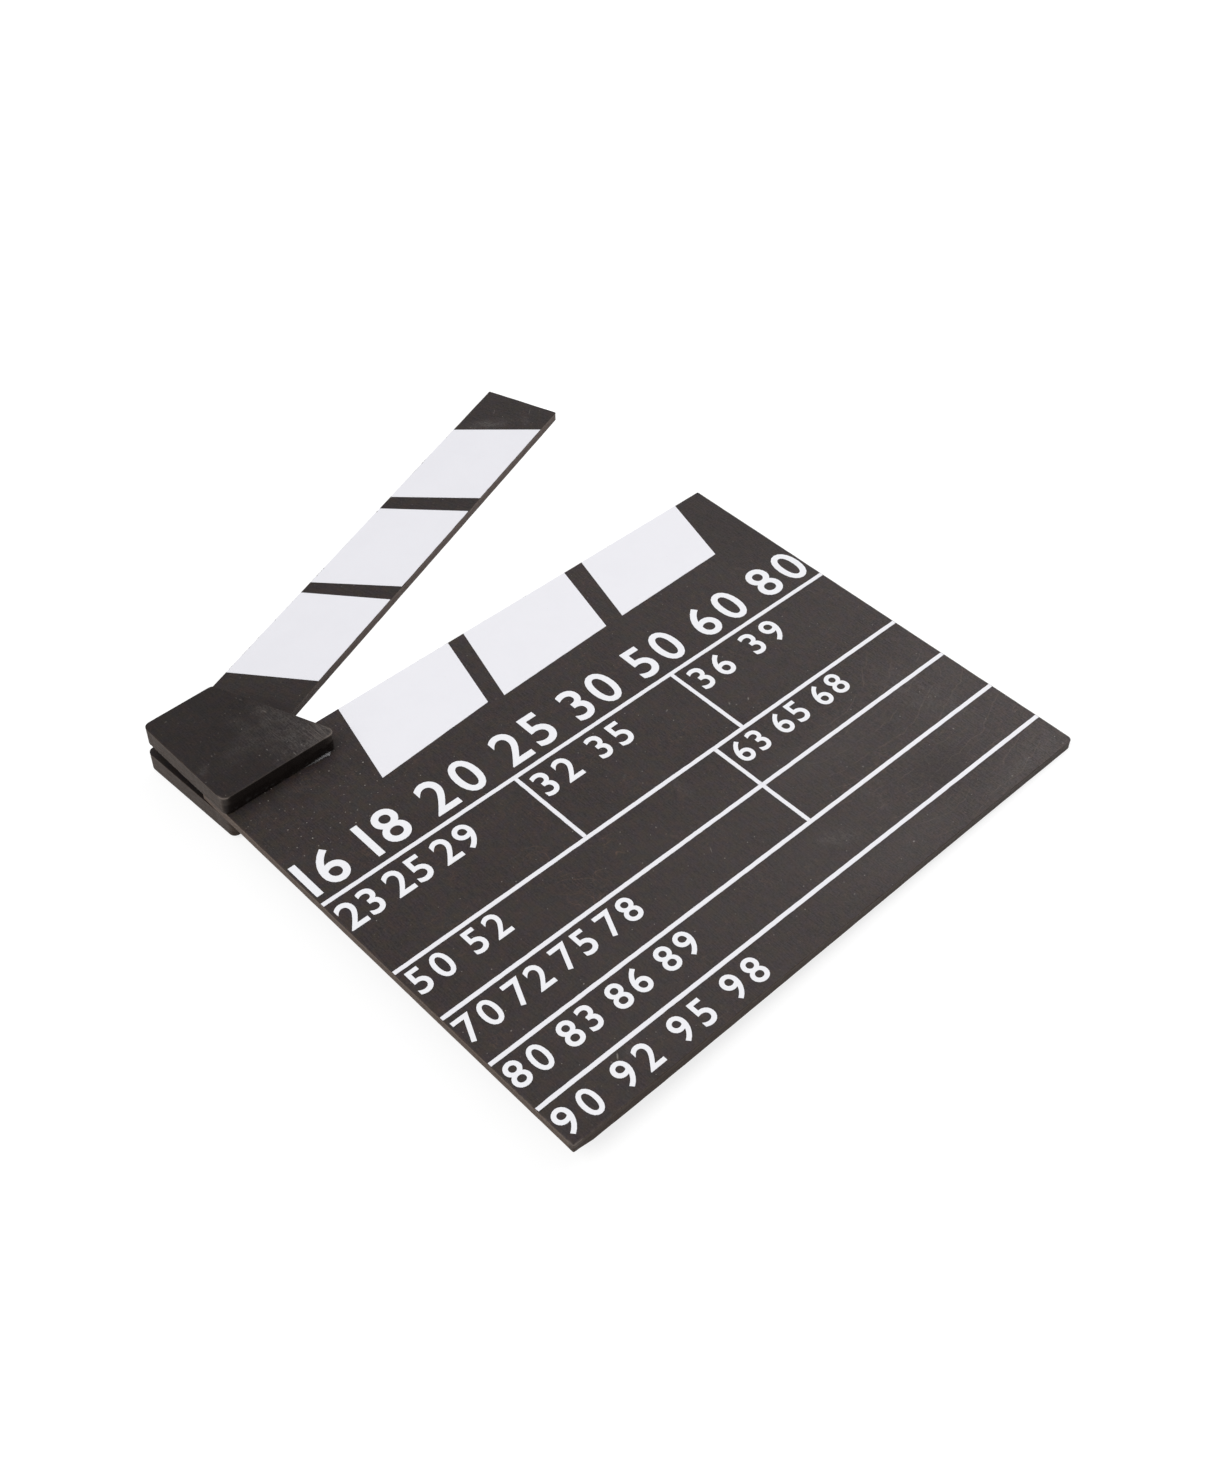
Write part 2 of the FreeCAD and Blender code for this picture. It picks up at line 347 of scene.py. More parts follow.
def tube_object(name, rings, *materials, sides=True):
    """Closed object through a stack of rings (row, point, xyz), with a flat cap on the first and last ring.

    The rings turn anticlockwise about the way that the rows advance, so the faces point outwards. sides says
    which rows of quads are smooth and take the last material. The rest is flat and takes the first."""
    rows, count, _ = rings.shape
    quads = ring_quads(rows, count)
    total = rows * count
    low_points, low_faces = cap_mesh(rings[0], 0, total)
    high_points, high_faces = cap_mesh(rings[-1], total - count, total + len(low_points))
    points = np.concatenate((rings.reshape(-1, 3), low_points, high_points))
    faces = quads + [face[::-1] for face in low_faces] + high_faces
    made = mesh_object(name, points, faces, *materials)
    smooth = np.zeros(len(faces), bool)
    smooth[:len(quads)] = np.repeat(np.broadcast_to(sides, rows - 1), count)
    made.data.polygons.foreach_set("use_smooth", smooth)
    made.data.polygons.foreach_set("material_index", smooth.astype(np.int32) * (len(materials) - 1))
    made.data.update()
    return made


def add_values(piece, name, values):
    """Store one number for each ring point of a piece, and 0 inside its caps, for its materials to read."""
    padded = np.zeros(len(piece.data.vertices), np.float32)
    padded[:values.size] = values.ravel()
    piece.data.attributes.new(name, "FLOAT", "POINT").data.foreach_set("value", padded)


def add_edge_map(piece, rings, along, length):
    """UV map in metres: run round the outline and height on the sides, plan position on the two caps."""
    rows, count, _ = rings.shape
    mesh = piece.data
    corners = np.empty(len(mesh.loops), np.int32)
    mesh.loops.foreach_get("vertex_index", corners)
    places = mesh_points(mesh)[corners]
    run = np.stack((along, np.append(along[1:], length)), axis=1)[:, [0, 1, 1, 0]]
    sides = (rows - 1) * count * 4
    uv = places[:, :2].astype(np.float32)
    uv[:sides, 0] = np.tile(run.ravel(), rows - 1)
    uv[:sides, 1] = places[:sides, 2]
    mesh.uv_layers.new(name="edge_run").data.foreach_set("uv", uv.ravel())


def keep(piece, body, slot, *nodes):
    """Let a finished piece ride on its body and stand for CAD nodes, which it hides. The slot is not used.
    """
    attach(piece, body)
    if nodes:
        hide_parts(*nodes)


# Plywood plates

PLATE_STEP = 0.6 * MM       # between the points of an outline
CHEEK_STEP = 0.3 * MM
ARC_STEPS = 5
SIDE_ROWS = 9
FACE_BAND = 0.8 * MM        # strip of face beside each edge that takes part in its wear
ARRIS_WAVE = 14 * MM        # over what lengths the edge's rounding, the saw cut and the rubbing change
SAW_WAVE = 5 * MM
RUB_WAVE = 9 * MM
SIDE_WEAR = 0.12            # wear of the upright side, where the edges have up to 1


def hull_corners(node, directions=2880):
    """Corners of a node's plan outline, anticlockwise.

    For each of many directions round the circle, the vertex that lies furthest that way is a corner."""
    plan = np.unique(np.round(mesh_points(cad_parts[node].data)[:, :2], 7), axis=0)
    angles = np.linspace(0, 2 * np.pi, directions, endpoint=False)
    furthest = np.argmax(plan @ np.stack((np.cos(angles), np.sin(angles))), axis=0)
    return plan[furthest[furthest != np.roll(furthest, 1)]]


def even_outline(corners, step):
    """The closed outline through the corners in equal steps: its points and their run along it.

    The count of points is a multiple of what a cap needs to thin them out."""
    closed = np.vstack((corners, corners[:1]))
    lengths = np.linalg.norm(np.diff(closed, axis=0), axis=1)
    run = np.concatenate(([0.0], np.cumsum(lengths)))
    multiple = CAP_THINNING ** len(CAP_SHARES)
    count = multiple * max(1, round(run[-1] / step / multiple))
    along = np.arange(count) * run[-1] / count
    return np.stack([np.interp(along, run, column) for column in closed.T], axis=1), along


def blunted(outline, step, blunting):
    """The outline with its corners rounded a little.

    Its points, as complex numbers, are a periodic signal, and each frequency of it is damped by a Gaussian
    whose width is the blunting. A convex outline stays inside itself."""
    signal = np.fft.fft(outline[:, 0] + 1j * outline[:, 1])
    waves = 2 * np.pi * np.fft.fftfreq(len(outline), step)
    smooth = np.fft.ifft(signal * np.exp(-0.5 * (waves * blunting) ** 2))
    return np.stack((smooth.real, smooth.imag), axis=1)


def outward_normals(outline):
    """Unit normals of a closed anticlockwise outline, from the chord between each point's neighbours."""
    chord = np.roll(outline, -1, axis=0) - np.roll(outline, 1, axis=0)
    return unit(np.stack((chord[:, 1], -chord[:, 0]), axis=1))


def plate_rings(node, step, settings, seed, chips=None):
    """Plate with sanded edges in place of a CAD node: its rings, run, outline length and wear.

    Each ring is the plan outline moved inwards. From the bottom up the rings follow a narrow band of the
    back face, a quarter circle, the upright side, a quarter circle and a band of the front face. The quarter
    circles' radius wanders along the edge, and each ply and the saw leave the side a little hollow.
    chips(outline) may give depths to take off the lower and the upper edge."""
    low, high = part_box(node)
    outline, along = even_outline(hull_corners(node), step)
    step = along[1]
    outline = blunted(outline, step, settings.corner_blunting)
    normals = outward_normals(outline)
    count = len(outline)

    def radius(offset):
        return settings.arris * np.clip(1 + 0.35 * wander(count, step, ARRIS_WAVE, seed + offset), 0.4, 2.0)

    low_chip, high_chip = chips(outline) if chips else np.zeros((2, count))
    low_r, high_r = radius(1) + low_chip, radius(2) + high_chip
    angles = np.linspace(0, np.pi / 2, ARC_STEPS)[:, None]
    side = np.linspace(0, 1, SIDE_ROWS + 2)[1:-1, None]
    plies = settings.ply_hollow * (0.5 - 0.5 * np.cos(2 * np.pi * side * settings.ply_count))
    saw = settings.saw_wander * np.clip(wander(count, step, SAW_WAVE, seed + 3) + 1.2, 0, 3)
    z = np.vstack((
        np.full((1, count), low.z),
        low.z + low_r * (1 - np.cos(angles)),
        low.z + low_r + side * (high.z - low.z - low_r - high_r),
        high.z - high_r * (1 - np.cos(angles[::-1])),
        np.full((1, count), high.z),
    ))
    inset = np.vstack((
        (low_r + FACE_BAND)[None],
        low_r * (1 - np.sin(angles)),
        (plies + saw) * np.sin(np.pi * side) ** 0.5,
        high_r * (1 - np.sin(angles[::-1])),
        (high_r + FACE_BAND)[None],
    ))
    plan = outline[None] - normals[None] * inset[..., None]
    arc_wear = np.sin(2 * angles) * 0.7 + 0.3
    wear = np.vstack(([[0.0]], arc_wear, np.full((SIDE_ROWS, 1), SIDE_WEAR), arc_wear[::-1], [[0.0]]))
    return np.concatenate((plan, z[..., None]), axis=-1), along, along[-1] + step, wear


def make_plate(node, body, step, settings, face, edge, seed, chips=None, sawn=None, rub=None, soil=None):
    """One plywood plate with a face and an edge material, how far its edges are rubbed, and their dirt and
    painted shade.
    """
    rings, along, length, wear = plate_rings(node, step, settings, seed, chips)
    if sawn is not None:
        rings = sawn(rings)
    rows, count, _ = rings.shape
    sides = np.ones(rows - 1, bool)
    sides[[0, -1]] = False
    piece = tube_object(f"{node}_plywood", rings, face, edge, sides=sides)
    patches = settings.rub * np.clip(0.4 + 0.5 * wander(count, along[1], RUB_WAVE, seed + 4), 0.0, None)
    if rub is not None:
        patches = patches + rub(rings)
    add_values(piece, "rub", np.clip(wear * patches, 0.0, 1.0))
    # Dirt, and painted shade where an edge faces away from the light or lies beside the cheeks
    if soil is not None:
        add_values(piece, "soil", soil(rings))
    add_edge_map(piece, rings, along, length)
    keep(piece, body, "stained_plywood", node)


def board_rub(rings):
    """Rubbed edges of the board: the lower left corner and what runs up and along from it."""
    x, y = slate_plan(rings)
    patchy = np.clip(0.6 + 0.5 * wander(rings.shape[1], PLATE_STEP, 2.5 * MM, seed=19), 0.0, 1.5)
    left = fade(0.5, 2.0, x) * (1 - 0.8 * smooth_step(15.0, 45.0, y))
    bottom = fade(1.0, 2.5, y) * fade(10.0, 45.0, x)
    rubbed = near(rings, 0.0, 0.0, reach=6.0) + patchy * (0.8 * left + 0.4 * bottom)
    return rubbed * upper_half(rings)


def board_soil(rings):
    """Painted shade along the board's bottom edge, which faces away from the light, a little deeper towards
    the right.
    """
    x, y = slate_plan(rings)
    return (0.55 + 0.1 * smooth_step(180.0, 260.0, x)) * fade(2.0, 3.0, y)


def board_chips(outline):
    """Roughness of the board's knocked lower right corner, on both its edges."""
    knocked = near(outline, 298.5, 1.5, reach=7.0)
    rough = 0.1 * MM * knocked * np.abs(wander(len(outline), PLATE_STEP, 1.2 * MM, seed=17))
    return rough, 0.6 * rough


def board_sawn(rings):
    """The board with its bottom edge sawn askew, and leaning outwards below towards the left.

    The strip along the bottom edge is drawn up by a depth that is read off a table at each X, one for the
    face's edge and one for the back's, and mixed by the height between them. It fades out up the board."""
    x, y = slate_plan(rings)
    rise = (rings[..., 2] - BOARD_LOW.z) / BOARD_THICKNESS
    face_cut = np.interp(x, BOTTOM_CUT_X, FACE_CUT)
    back_cut = np.interp(x, BOTTOM_CUT_X, BACK_CUT)
    sawn = rings.copy()
    sawn[..., 1] += (back_cut + (face_cut - back_cut) * rise) * fade(1.0, 9.0, y) * MM
    return sawn


def stick_rub(rings):
    """Rubbed upper long edge of the stick, patchy, and more so towards the tip."""
    x, y = slate_plan(rings)
    patchy = np.clip(0.5 + 0.5 * wander(rings.shape[1], PLATE_STEP, 4.0 * MM, seed=29), 0.0, 1.2)
    above = (y - DOWEL_Y) - math.tan(STICK_OPEN) * (x - DOWEL_X)
    upper = smooth_step(18.8, 20.2, above * math.cos(STICK_OPEN))
    return 0.6 * patchy * upper * smooth_step(60.0, 250.0, x) * upper_half(rings)


def stick_soil(rings):
    """Dirt, and painted shadow of the cheeks, on the stick's edges near them."""
    return 0.6 - 0.6 * smooth_step(40.0, 120.0, slate_plan(rings)[0])


def cheek_chips(outline):
    """Worn lower corners and a nick in the front cheek's upper edge, and a ragged lower edge on its left."""
    x, y = slate_plan(outline)
    left = fade(-0.6, 1.6, x) * smooth_step(219.0, 224.0, y)
    ragged = 0.25 * MM * left * np.abs(wander(len(outline), CHEEK_STEP, 2.5 * MM, seed=41))
    return ragged, sum(depth * MM * near(outline, *place) for *place, depth in CHEEK_CHIPS)


def cheek_rub(rings):
    """Edges of the front cheek that are rubbed through: both lower corners, the foot and the right side."""
    x, y = slate_plan(rings)
    foot = fade(FOOT_Y + 0.4, FOOT_Y + 1.4, y) * (0.22 + 0.4 * smooth_step(40.0, 52.0, x))
    return (sum(amount * near(rings, *place) for *place, amount in CHEEK_RUBBED) + foot) * upper_half(rings)


def cheek_soil(rings):
    """Painted shade all over the front cheek's foot, which faces away from the light."""
    return fade(FOOT_Y + 0.4, FOOT_Y + 2.6, slate_plan(rings)[1])


# Film and glue

FILM_STEP = 0.4 * MM        # between the points of a cut edge
FILM_BEVEL = 0.03 * MM
FEWEST_STEPS = 12
CUT_WAVE = 12 * MM          # over what lengths the cuts stray, and the torn notches follow each other
TORN_WAVE = 1.6 * MM
PEELED = 8.0                # stretch of the lowest rule's film that has come loose
BEAD_RINGS, BEAD_POINTS = 96, 24


def film_rings(near_edge, far_edge):
    """Strip of film between two cut edges: a six-sided section carried along them.

    Both edges are rows of plan points that run the same way, with the far edge on the left of the near one.
    The section is a low box on the face whose two upper corners are bevelled."""
    bevel = unit(far_edge - near_edge) * FILM_BEVEL
    plan = np.stack((near_edge, far_edge, far_edge, far_edge - bevel, near_edge + bevel, near_edge), axis=1)
    top = FACE_Z + FILM_THICKNESS
    shoulder = top - FILM_BEVEL
    z = np.broadcast_to(np.array([FACE_Z, FACE_Z, shoulder, top, top, shoulder]), plan.shape[:2])
    return np.concatenate((plan, z[..., None]), axis=-1)


def film_edges(node):
    """The two longer edges of a four-cornered film node, as evenly divided rows of plan points."""
    corners = hull_corners(node)
    if len(corners) != 4:
        raise RuntimeError(f"{node} has {len(corners)} corners in plan, and a film strip has 4")
    sides = np.linalg.norm(np.roll(corners, -1, axis=0) - corners, axis=1)
    if sides[0] + sides[2] < sides[1] + sides[3]:
        corners = np.roll(corners, -1, axis=0)
    count = max(FEWEST_STEPS, int(np.linalg.norm(corners[1] - corners[0]) / FILM_STEP))
    t = np.linspace(0, 1, count)[:, None]
    return [corners[start] * (1 - t) + corners[end] * t for start, end in ((0, 1), (3, 2))]


def laid_film(node, settings, seed):
    """Rings of one film node: its edges stray as cut by hand, and stripes lap over their plate's edge."""
    edges = film_edges(node)
    inward = unit(edges[1] - edges[0])
    count = len(inward)
    upper = int(edges[1][:, 1].mean() > edges[0][:, 1].mean())
    cut = [settings.cut_wander * np.abs(wander(count, FILM_STEP, CUT_WAVE, seed + offset))
           for offset in (0, 40)]
    if node in BOARD_STRIPES + STICK_STRIPES:
        cut[upper] -= settings.edge_reach
    if node in STICK_STRIPES:
        notches = np.clip(wander(count, FILM_STEP, TORN_WAVE, seed + 80) - 1, 0, 1.5)
        cut[upper] += settings.torn_depth * notches
    rings = film_rings(edges[0] + inward * cut[0][:, None], edges[1] - inward * cut[1][:, None])
    return peeled_end(rings) if node == RULES[0] else rings


def peeled_end(rings):
    """The lowest rule's film with its left end bent down the slate and its lower edge lifted there.

    Both grow with the square of the distance into the last stretch of the film."""
    x, y = slate_plan(rings)
    into = np.clip(1 - x / PEELED, 0.0, 1.0) ** 2
    bent = rings.copy()
    bent[..., 1] -= 0.3 * MM * into
    bent[..., 2] += 0.6 * MM * into * np.where(y < y.mean(), 1.0, 0.1)
    return bent


def number_glyphs(weight, thickness):
    """Each digit of Blender's own font as a closed mesh of height 1: its points, faces and ink width."""
    curve = bpy.data.curves.new("digit", "FONT")
    curve.size = 1.0
    curve.offset = weight
    curve.extrude = thickness / 2
    curve.resolution_u = 5
    holder = bpy.data.objects.new("digit", curve)
    bpy.context.scene.collection.objects.link(holder)
    glyphs = {}
    for digit in "0123456789":
        curve.body = digit
        bpy.context.view_layer.update()
        mesh = bpy.data.meshes.new_from_object(holder)
        merged, back = np.unique(np.round(mesh_points(mesh), 5), axis=0, return_inverse=True)
        back = back.ravel()
        faces = [[int(back[index]) for index in polygon.vertices] for polygon in mesh.polygons]
        merged[:, 0] -= merged[:, 0].min()
        merged[:, :2] /= np.ptp(merged[:, 1])
        merged[:, 1] -= merged[:, 1].min()
        glyphs[digit] = (merged, faces, np.ptp(merged[:, 0]))
        bpy.data.meshes.remove(mesh)
    bpy.data.objects.remove(holder)
    bpy.data.curves.remove(curve)
    return glyphs


def number_row(glyphs, text, left, right, baseline, height, settings, rng):
    """Points and faces of one row of numbers that fills the space from left to right.

    Digits stand side by side with one gap within a number and a wider one between numbers, both stretched
    alike until the row fits. Each is then shifted and turned a little, as laid by hand."""
    words = text.split()
    ink = sum(glyphs[digit][2] for digit in "".join(words)) * height
    gaps = sum(len(word) - 1 for word in words) + settings.word_gap * (len(words) - 1)
    gap = (right - left - ink) / gaps
    points, faces, pen, total = [], [], left, 0
    for word in words:
        for digit in word:
            shape, polygons, width = glyphs[digit]
            placed = shape.copy()
            placed[:, :2] *= height
            turn = rng.normal(0, settings.hand_turn)
            cos, sin = math.cos(turn), math.sin(turn)
            placed[:, :2] = placed[:, :2] @ np.array([[cos, sin], [-sin, cos]])
            placed[:, 0] += pen
            placed[:, 1] += baseline + rng.normal(0, settings.hand_shift / MM)
            points.append(placed)
            faces += [[index + total for index in polygon] for polygon in polygons]
            total += len(placed)
            pen += width * height + gap
        pen += gap * (settings.word_gap - 1)
    flat = np.concatenate(points)
    flat[:, :2] = flat[:, :2] * MM + SLATE_CORNER[:2]
    flat[:, 2] += FACE_Z + FILM_THICKNESS / 2
    return flat, faces


def bead_rings(settings):
    """Bead of squeezed-out glue along the foot of the front cheek: its rings and how thick it is all over.

    The path follows the foot, and each ring is an ellipse that is cut off by the slate's face below and by
    the cheek behind. Width and height swell towards the right end and fade to the left, with small lumps."""
    low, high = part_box("glue_bead")
    t = np.linspace(0, 1, BEAD_RINGS)
    step = (high.x - low.x) / (BEAD_RINGS - 1)
    swell = smooth_step(0.0, 0.7, t) * fade(0.86, 1.0, t) * 0.85 + 0.15
    taper = np.sqrt(np.clip(1 - (2 * t - 1) ** 8, 0.02, 1))

    def lumpy(size, spread, wavelength, seed):
        lumps = np.clip(1 + spread * wander(BEAD_RINGS, step, wavelength, seed), 0.6, 1.4)
        return (size * swell * lumps * taper)[:, None]

    width = lumpy(settings.bead_width, 0.14, 1.6 * MM, seed=71)
    tall = lumpy(settings.bead_height, 0.16, 1.2 * MM, seed=72)
    angle = np.linspace(0, 2 * np.pi, BEAD_POINTS, endpoint=False)
    x = np.broadcast_to(low.x + t[:, None] * (high.x - low.x), (BEAD_RINGS, BEAD_POINTS))
    y = np.minimum(high.y + width * (np.cos(angle) - 0.55), high.y)
    z = FACE_Z + tall * np.clip(0.2 + 0.8 * np.sin(angle), 0.0, None)
    thick = np.clip((z - FACE_Z) / settings.bead_height, 0.0, 1.0) * smooth_step(0.25, 0.85, t)[:, None]
    return np.stack((x, y, z), axis=-1), thick


# Shader nodes

ORIGIN = (0.0, 0.0, 0.0)


class Field:
    """What a shader node puts out. Sums with fields and numbers add Math nodes to its tree."""

    def __init__(self, socket):
        self.socket = socket
        self.tree = socket.id_data

    def __getitem__(self, name):
        return Field(self.socket.node.outputs[name])

    def __add__(self, other):
        return calc("ADD", self, other)

    def __sub__(self, other):
        return calc("SUBTRACT", self, other)

    def __rsub__(self, other):
        return calc("SUBTRACT", other, self)

    def __mul__(self, other):
        return calc("MULTIPLY", self, other)

    def __truediv__(self, other):
        return calc("DIVIDE", self, other)

    def __rtruediv__(self, other):
        return calc("DIVIDE", other, self)


def add(tree, kind, inputs=None, **values):
    """First output of a new node with its settings, whose inputs are set to a value or linked from a field.

    The node's other outputs are items of the field, by name or number."""
    node = tree.nodes.new("ShaderNode" + kind)
    for name, value in values.items():
        setattr(node, name, value)
    for name, value in (inputs or {}).items():
        if isinstance(value, Field):
            tree.links.new(value.socket, node.inputs[name])
        else:
            node.inputs[name].default_value = value
    return Field(node.outputs[0])


def tree_of(*terms):
    """The node tree of the first field among some fields and plain values."""
    return next(term.tree for term in terms if isinstance(term, Field))


def calc(operation, *terms, kind="Math"):
    """A Math or VectorMath node on fields and plain values."""
    return add(tree_of(*terms), kind, dict(enumerate(terms)), operation=operation)


def mix(factor, first, second, blend="MIX"):
    """Colour between first and second, or first with as much of second blended in."""
    pair = [term if isinstance(term, Field) else (*term, 1.0) for term in (first, second)]
    inputs = {0: factor, 6: pair[0], 7: pair[1]}
    return add(tree_of(factor, *pair), "Mix", inputs, data_type="RGBA", blend_type=blend)[2]


def ramp(value, low, high, to_low=0.0, to_high=1.0):
    """Smooth step of a field from low to high, put out from to_low to to_high."""
    inputs = {"Value": value, "From Min": low, "From Max": high, "To Min": to_low, "To Max": to_high}
    return add(value.tree, "MapRange", inputs, interpolation_type="SMOOTHSTEP")


def between(value, low, high):
    """A field from 0 to 1, put out from low to high."""
    return ramp(value, 0.0, 1.0, low, high)


def axis(vector, name):
    """One component of a vector field."""
    return add(vector.tree, "SeparateXYZ", {"Vector": vector})[name]


def noise(place, scale=1.0, detail=3.0, roughness=0.5, dimensions="2D"):
    """Cloudy noise about 0.5."""
    inputs = {"Vector": place, "Scale": scale, "Detail": detail, "Roughness": roughness}
    return add(place.tree, "TexNoise", inputs, noise_dimensions=dimensions)


def stored(place, name):
    """Number stored on a piece's points, in the tree of a place."""
    return add(place.tree, "Attribute", attribute_name=name)["Fac"]


def stretched(vector, angle, along, across):
    """Vector turned by an angle about Z and divided by a length along and a length across."""
    turned = add(vector.tree, "VectorRotate", {"Vector": vector, "Angle": angle}, rotation_type="Z_AXIS")
    spacing = add(vector.tree, "CombineXYZ", {"X": along, "Y": across, "Z": across})
    return calc("DIVIDE", turned, spacing, kind="VectorMath")


def shared(effect):
    """Turn a function of fields into a node group, and a call of it into that group in its vector's tree.

    The function's arguments are the group's inputs with their defaults, and its result names the outputs."""
    signature = inspect.signature(effect)

    def make_group():
        group = bpy.data.node_groups.new(effect.__name__, "ShaderNodeTree")
        for name, argument in signature.parameters.items():
            kind = "NodeSocketVector" if isinstance(argument.default, tuple) else "NodeSocketFloat"
            socket = group.interface.new_socket(name, in_out="INPUT", socket_type=kind)
            socket.default_value = argument.default
        given = group.nodes.new("NodeGroupInput").outputs
        results = effect(*(Field(given[name]) for name in signature.parameters))
        for name in results:
            group.interface.new_socket(name, in_out="OUTPUT", socket_type="NodeSocketFloat")
        put = group.nodes.new("NodeGroupOutput").inputs
        for name, field in results.items():
            group.links.new(field.socket, put[name])
        return group

    def place_group(*terms, **named_terms):
        inputs = signature.bind(*terms, **named_terms).arguments
        group = bpy.data.node_groups.get(effect.__name__) or make_group()
        return add(inputs["vector"].tree, "Group", inputs, node_tree=group)

    return place_group


@shared
def wood_grain(vector=ORIGIN, angle=0.0, along=0.01, across=0.0005):
    """Wood grain: noise drawn out along the grain."""
    return {"streaks": ramp(noise(stretched(vector, angle, along, across), roughness=0.6), 0.3, 0.7)}


@shared
def growth_rings(vector=ORIGIN, angle=0.0, along=0.12, across=0.05, count=9.0, line=0.1, breaks=0.5):
    """Growth rings: thin contour lines of noise drawn out along the grain, broken up by finer noise."""
    height = noise(stretched(vector, angle, along, across), detail=2.0, roughness=0.35)
    away = calc("ABSOLUTE", calc("FRACT", height * count) - 0.5)
    lines = 1.0 - ramp(away / line, 0.2, 1.0)
    return {"lines": lines * ramp(noise(vector, scale=55.0, detail=4.0), breaks, breaks + 0.15)}


@shared
def specks(vector=ORIGIN, angle=0.0, along=0.004, across=0.004, size=0.15, share=0.3):
    """Scattered specks: spots about the points of a stretched cell pattern, on a share of its cells."""
    cells = {"Vector": stretched(vector, angle, along, across), "Scale": 1.0}
    away = add(vector.tree, "TexVoronoi", cells, voronoi_dimensions="2D")
    chance = add(vector.tree, "SeparateColor", {"Color": away["Color"]})
    radius = size * between(chance["Green"], 0.4, 1.2)
    dot = 1.0 - ramp(away / radius, 0.5, 1.0)
    used = calc("LESS_THAN", chance["Red"], share)
    return {"mask": dot * used * ramp(chance["Blue"], 0.2, 1.0, 0.25, 1.0)}


@shared
def haze(vector=ORIGIN, size=0.05, low=0.4, high=0.75):
    """Cloudy patches, soft and broad, with a little fine mottling."""
    return {"amount": ramp(noise(vector, 1.0 / size, detail=5.0, roughness=0.55), low, high)}


@shared
def spot(vector=ORIGIN, centre=ORIGIN, angle=0.0, half_length=0.01, half_width=0.01):
    """One soft round or oval patch: 1 at its centre and 0 beyond its half widths."""
    offset = calc("SUBTRACT", vector, centre, kind="VectorMath")
    flat = calc("MULTIPLY", offset, (1.0, 1.0, 0.0), kind="VectorMath")
    away = calc("LENGTH", stretched(flat, angle, half_length, half_width), kind="VectorMath")["Value"]
    return {"mask": ramp(away, 0.1, 1.0, 1.0, 0.0)}


@shared
def ply_layers(vector=ORIGIN, base=0.0, ply=0.0015, line=0.12):
    """Ply edge: a tone for each layer, and thin lines between layers that waver along the edge."""
    waver = noise(add(vector.tree, "CombineXYZ", {"X": axis(vector, "X") * 45.0}))
    height = (axis(vector, "Y") - base) / ply + (waver - 0.5) * 0.35
    tone = add(vector.tree, "TexWhiteNoise", {"W": calc("FLOOR", height)}, noise_dimensions="1D")
    within = calc("FRACT", height)
    nearest = calc("MINIMUM", within, 1.0 - within)
    return {"tone": tone, "lines": ramp(nearest, 0.0, line, 1.0, 0.0)}


# Finishes

def new_material(name, gloss=0.5, sheen=(1.0, 1.0, 1.0)):
    """Material with a Principled shader, the specular level and tint of its gloss, and its coordinates."""
    material = bpy.data.materials.new(name)
    material.use_nodes = True
    shader = material.node_tree.nodes["Principled BSDF"].inputs
    shader["Specular IOR Level"].default_value = gloss
    shader["Specular Tint"].default_value = (*sheen, 1.0)
    return material, add(material.node_tree, "TexCoord")


def finish(material, tone, roughness, height=None, depth=0.0):
    """Give a material its colour, its roughness, and a height that stands out by a depth in metres."""
    tree = material.node_tree
    fields = {"Base Color": tone, "Roughness": roughness}
    if height is not None:
        fields["Normal"] = add(tree, "Bump", {"Height": height, "Distance": depth, "Strength": 1.0})
    for name, field in fields.items():
        tree.links.new(field.socket, tree.nodes["Principled BSDF"].inputs[name])
    return material


def stained_face(name, settings, grain_angle, gloss, lightness=1.0, marks=None):
    """Stained veneer: streaks along the grain, mottling, clouds, tan pores, pale dust and rubbed edges.

    marks(place, tone, grain, settings) may add what the piece has of its own."""
    material, coords = new_material(name, gloss, settings.sheen)
    place = coords["Object"]
    streaks = wood_grain(place, grain_angle, settings.grain_length, settings.grain_width)
    mottle = haze(place, settings.mottle, low=0.3, high=0.7)
    grain = calc("MULTIPLY_ADD", mottle, 0.5, streaks * 0.5)
    stains = (settings.stain, settings.stain_light, settings.haze)
    dark, light, cloudy = (np.multiply(rgb, lightness) for rgb in stains)
    tone = mix(grain, dark, light)
    for size, low, high, strength in CLOUDS:
        tone = mix(haze(place, size * MM, low, high) * strength, tone, cloudy)
    for size, first, second in HUE_DRIFTS:
        drift = haze(place, size * MM, low=0.34, high=0.66)
        tone = mix(1.0, tone, mix(drift, first, second), "MULTIPLY")
    pores = specks(place, grain_angle, along=2.6 * MM, across=1.6 * MM, size=0.16, share=0.26)
    tone = mix(pores * 0.15, tone, settings.bare_wood)
    dust = specks(place, along=4.5 * MM, across=4.5 * MM, size=0.06, share=0.25)
    tone = mix(dust * 0.5, tone, settings.dust)
    flecks = growth_rings(place, angle=0.5, along=5 * MM, across=4 * MM, count=3.0, line=0.08)
    tone = mix(flecks * (0.1 * lightness), tone, settings.crack)
    if marks is not None:
        tone = marks(place, tone, grain, settings)
    tone = mix(stored(place, "rub") * 0.7, tone, settings.rim)
    return finish(material, tone, between(grain, 0.58, 0.40), grain, 0.02 * MM)


def slate_place(place):
    """Object coordinates as millimetres on the slate."""
    offset = calc("SUBTRACT", place, tuple(SLATE_CORNER), kind="VectorMath")
    return add(place.tree, "VectorMath", {0: offset, "Scale": 1 / MM}, operation="SCALE")


def patched(tone, slate, patches, rgb, broken=None):
    """A colour with soft oval patches of another over it, broken up by a mask if there is one."""
    for x, y, angle, half_length, half_width, strength in patches:
        patch = spot(slate, (x, y, 0.0), -math.radians(angle), half_length, half_width)
        if broken is not None:
            patch = patch * broken
        tone = mix(patch * strength, tone, rgb)
    return tone


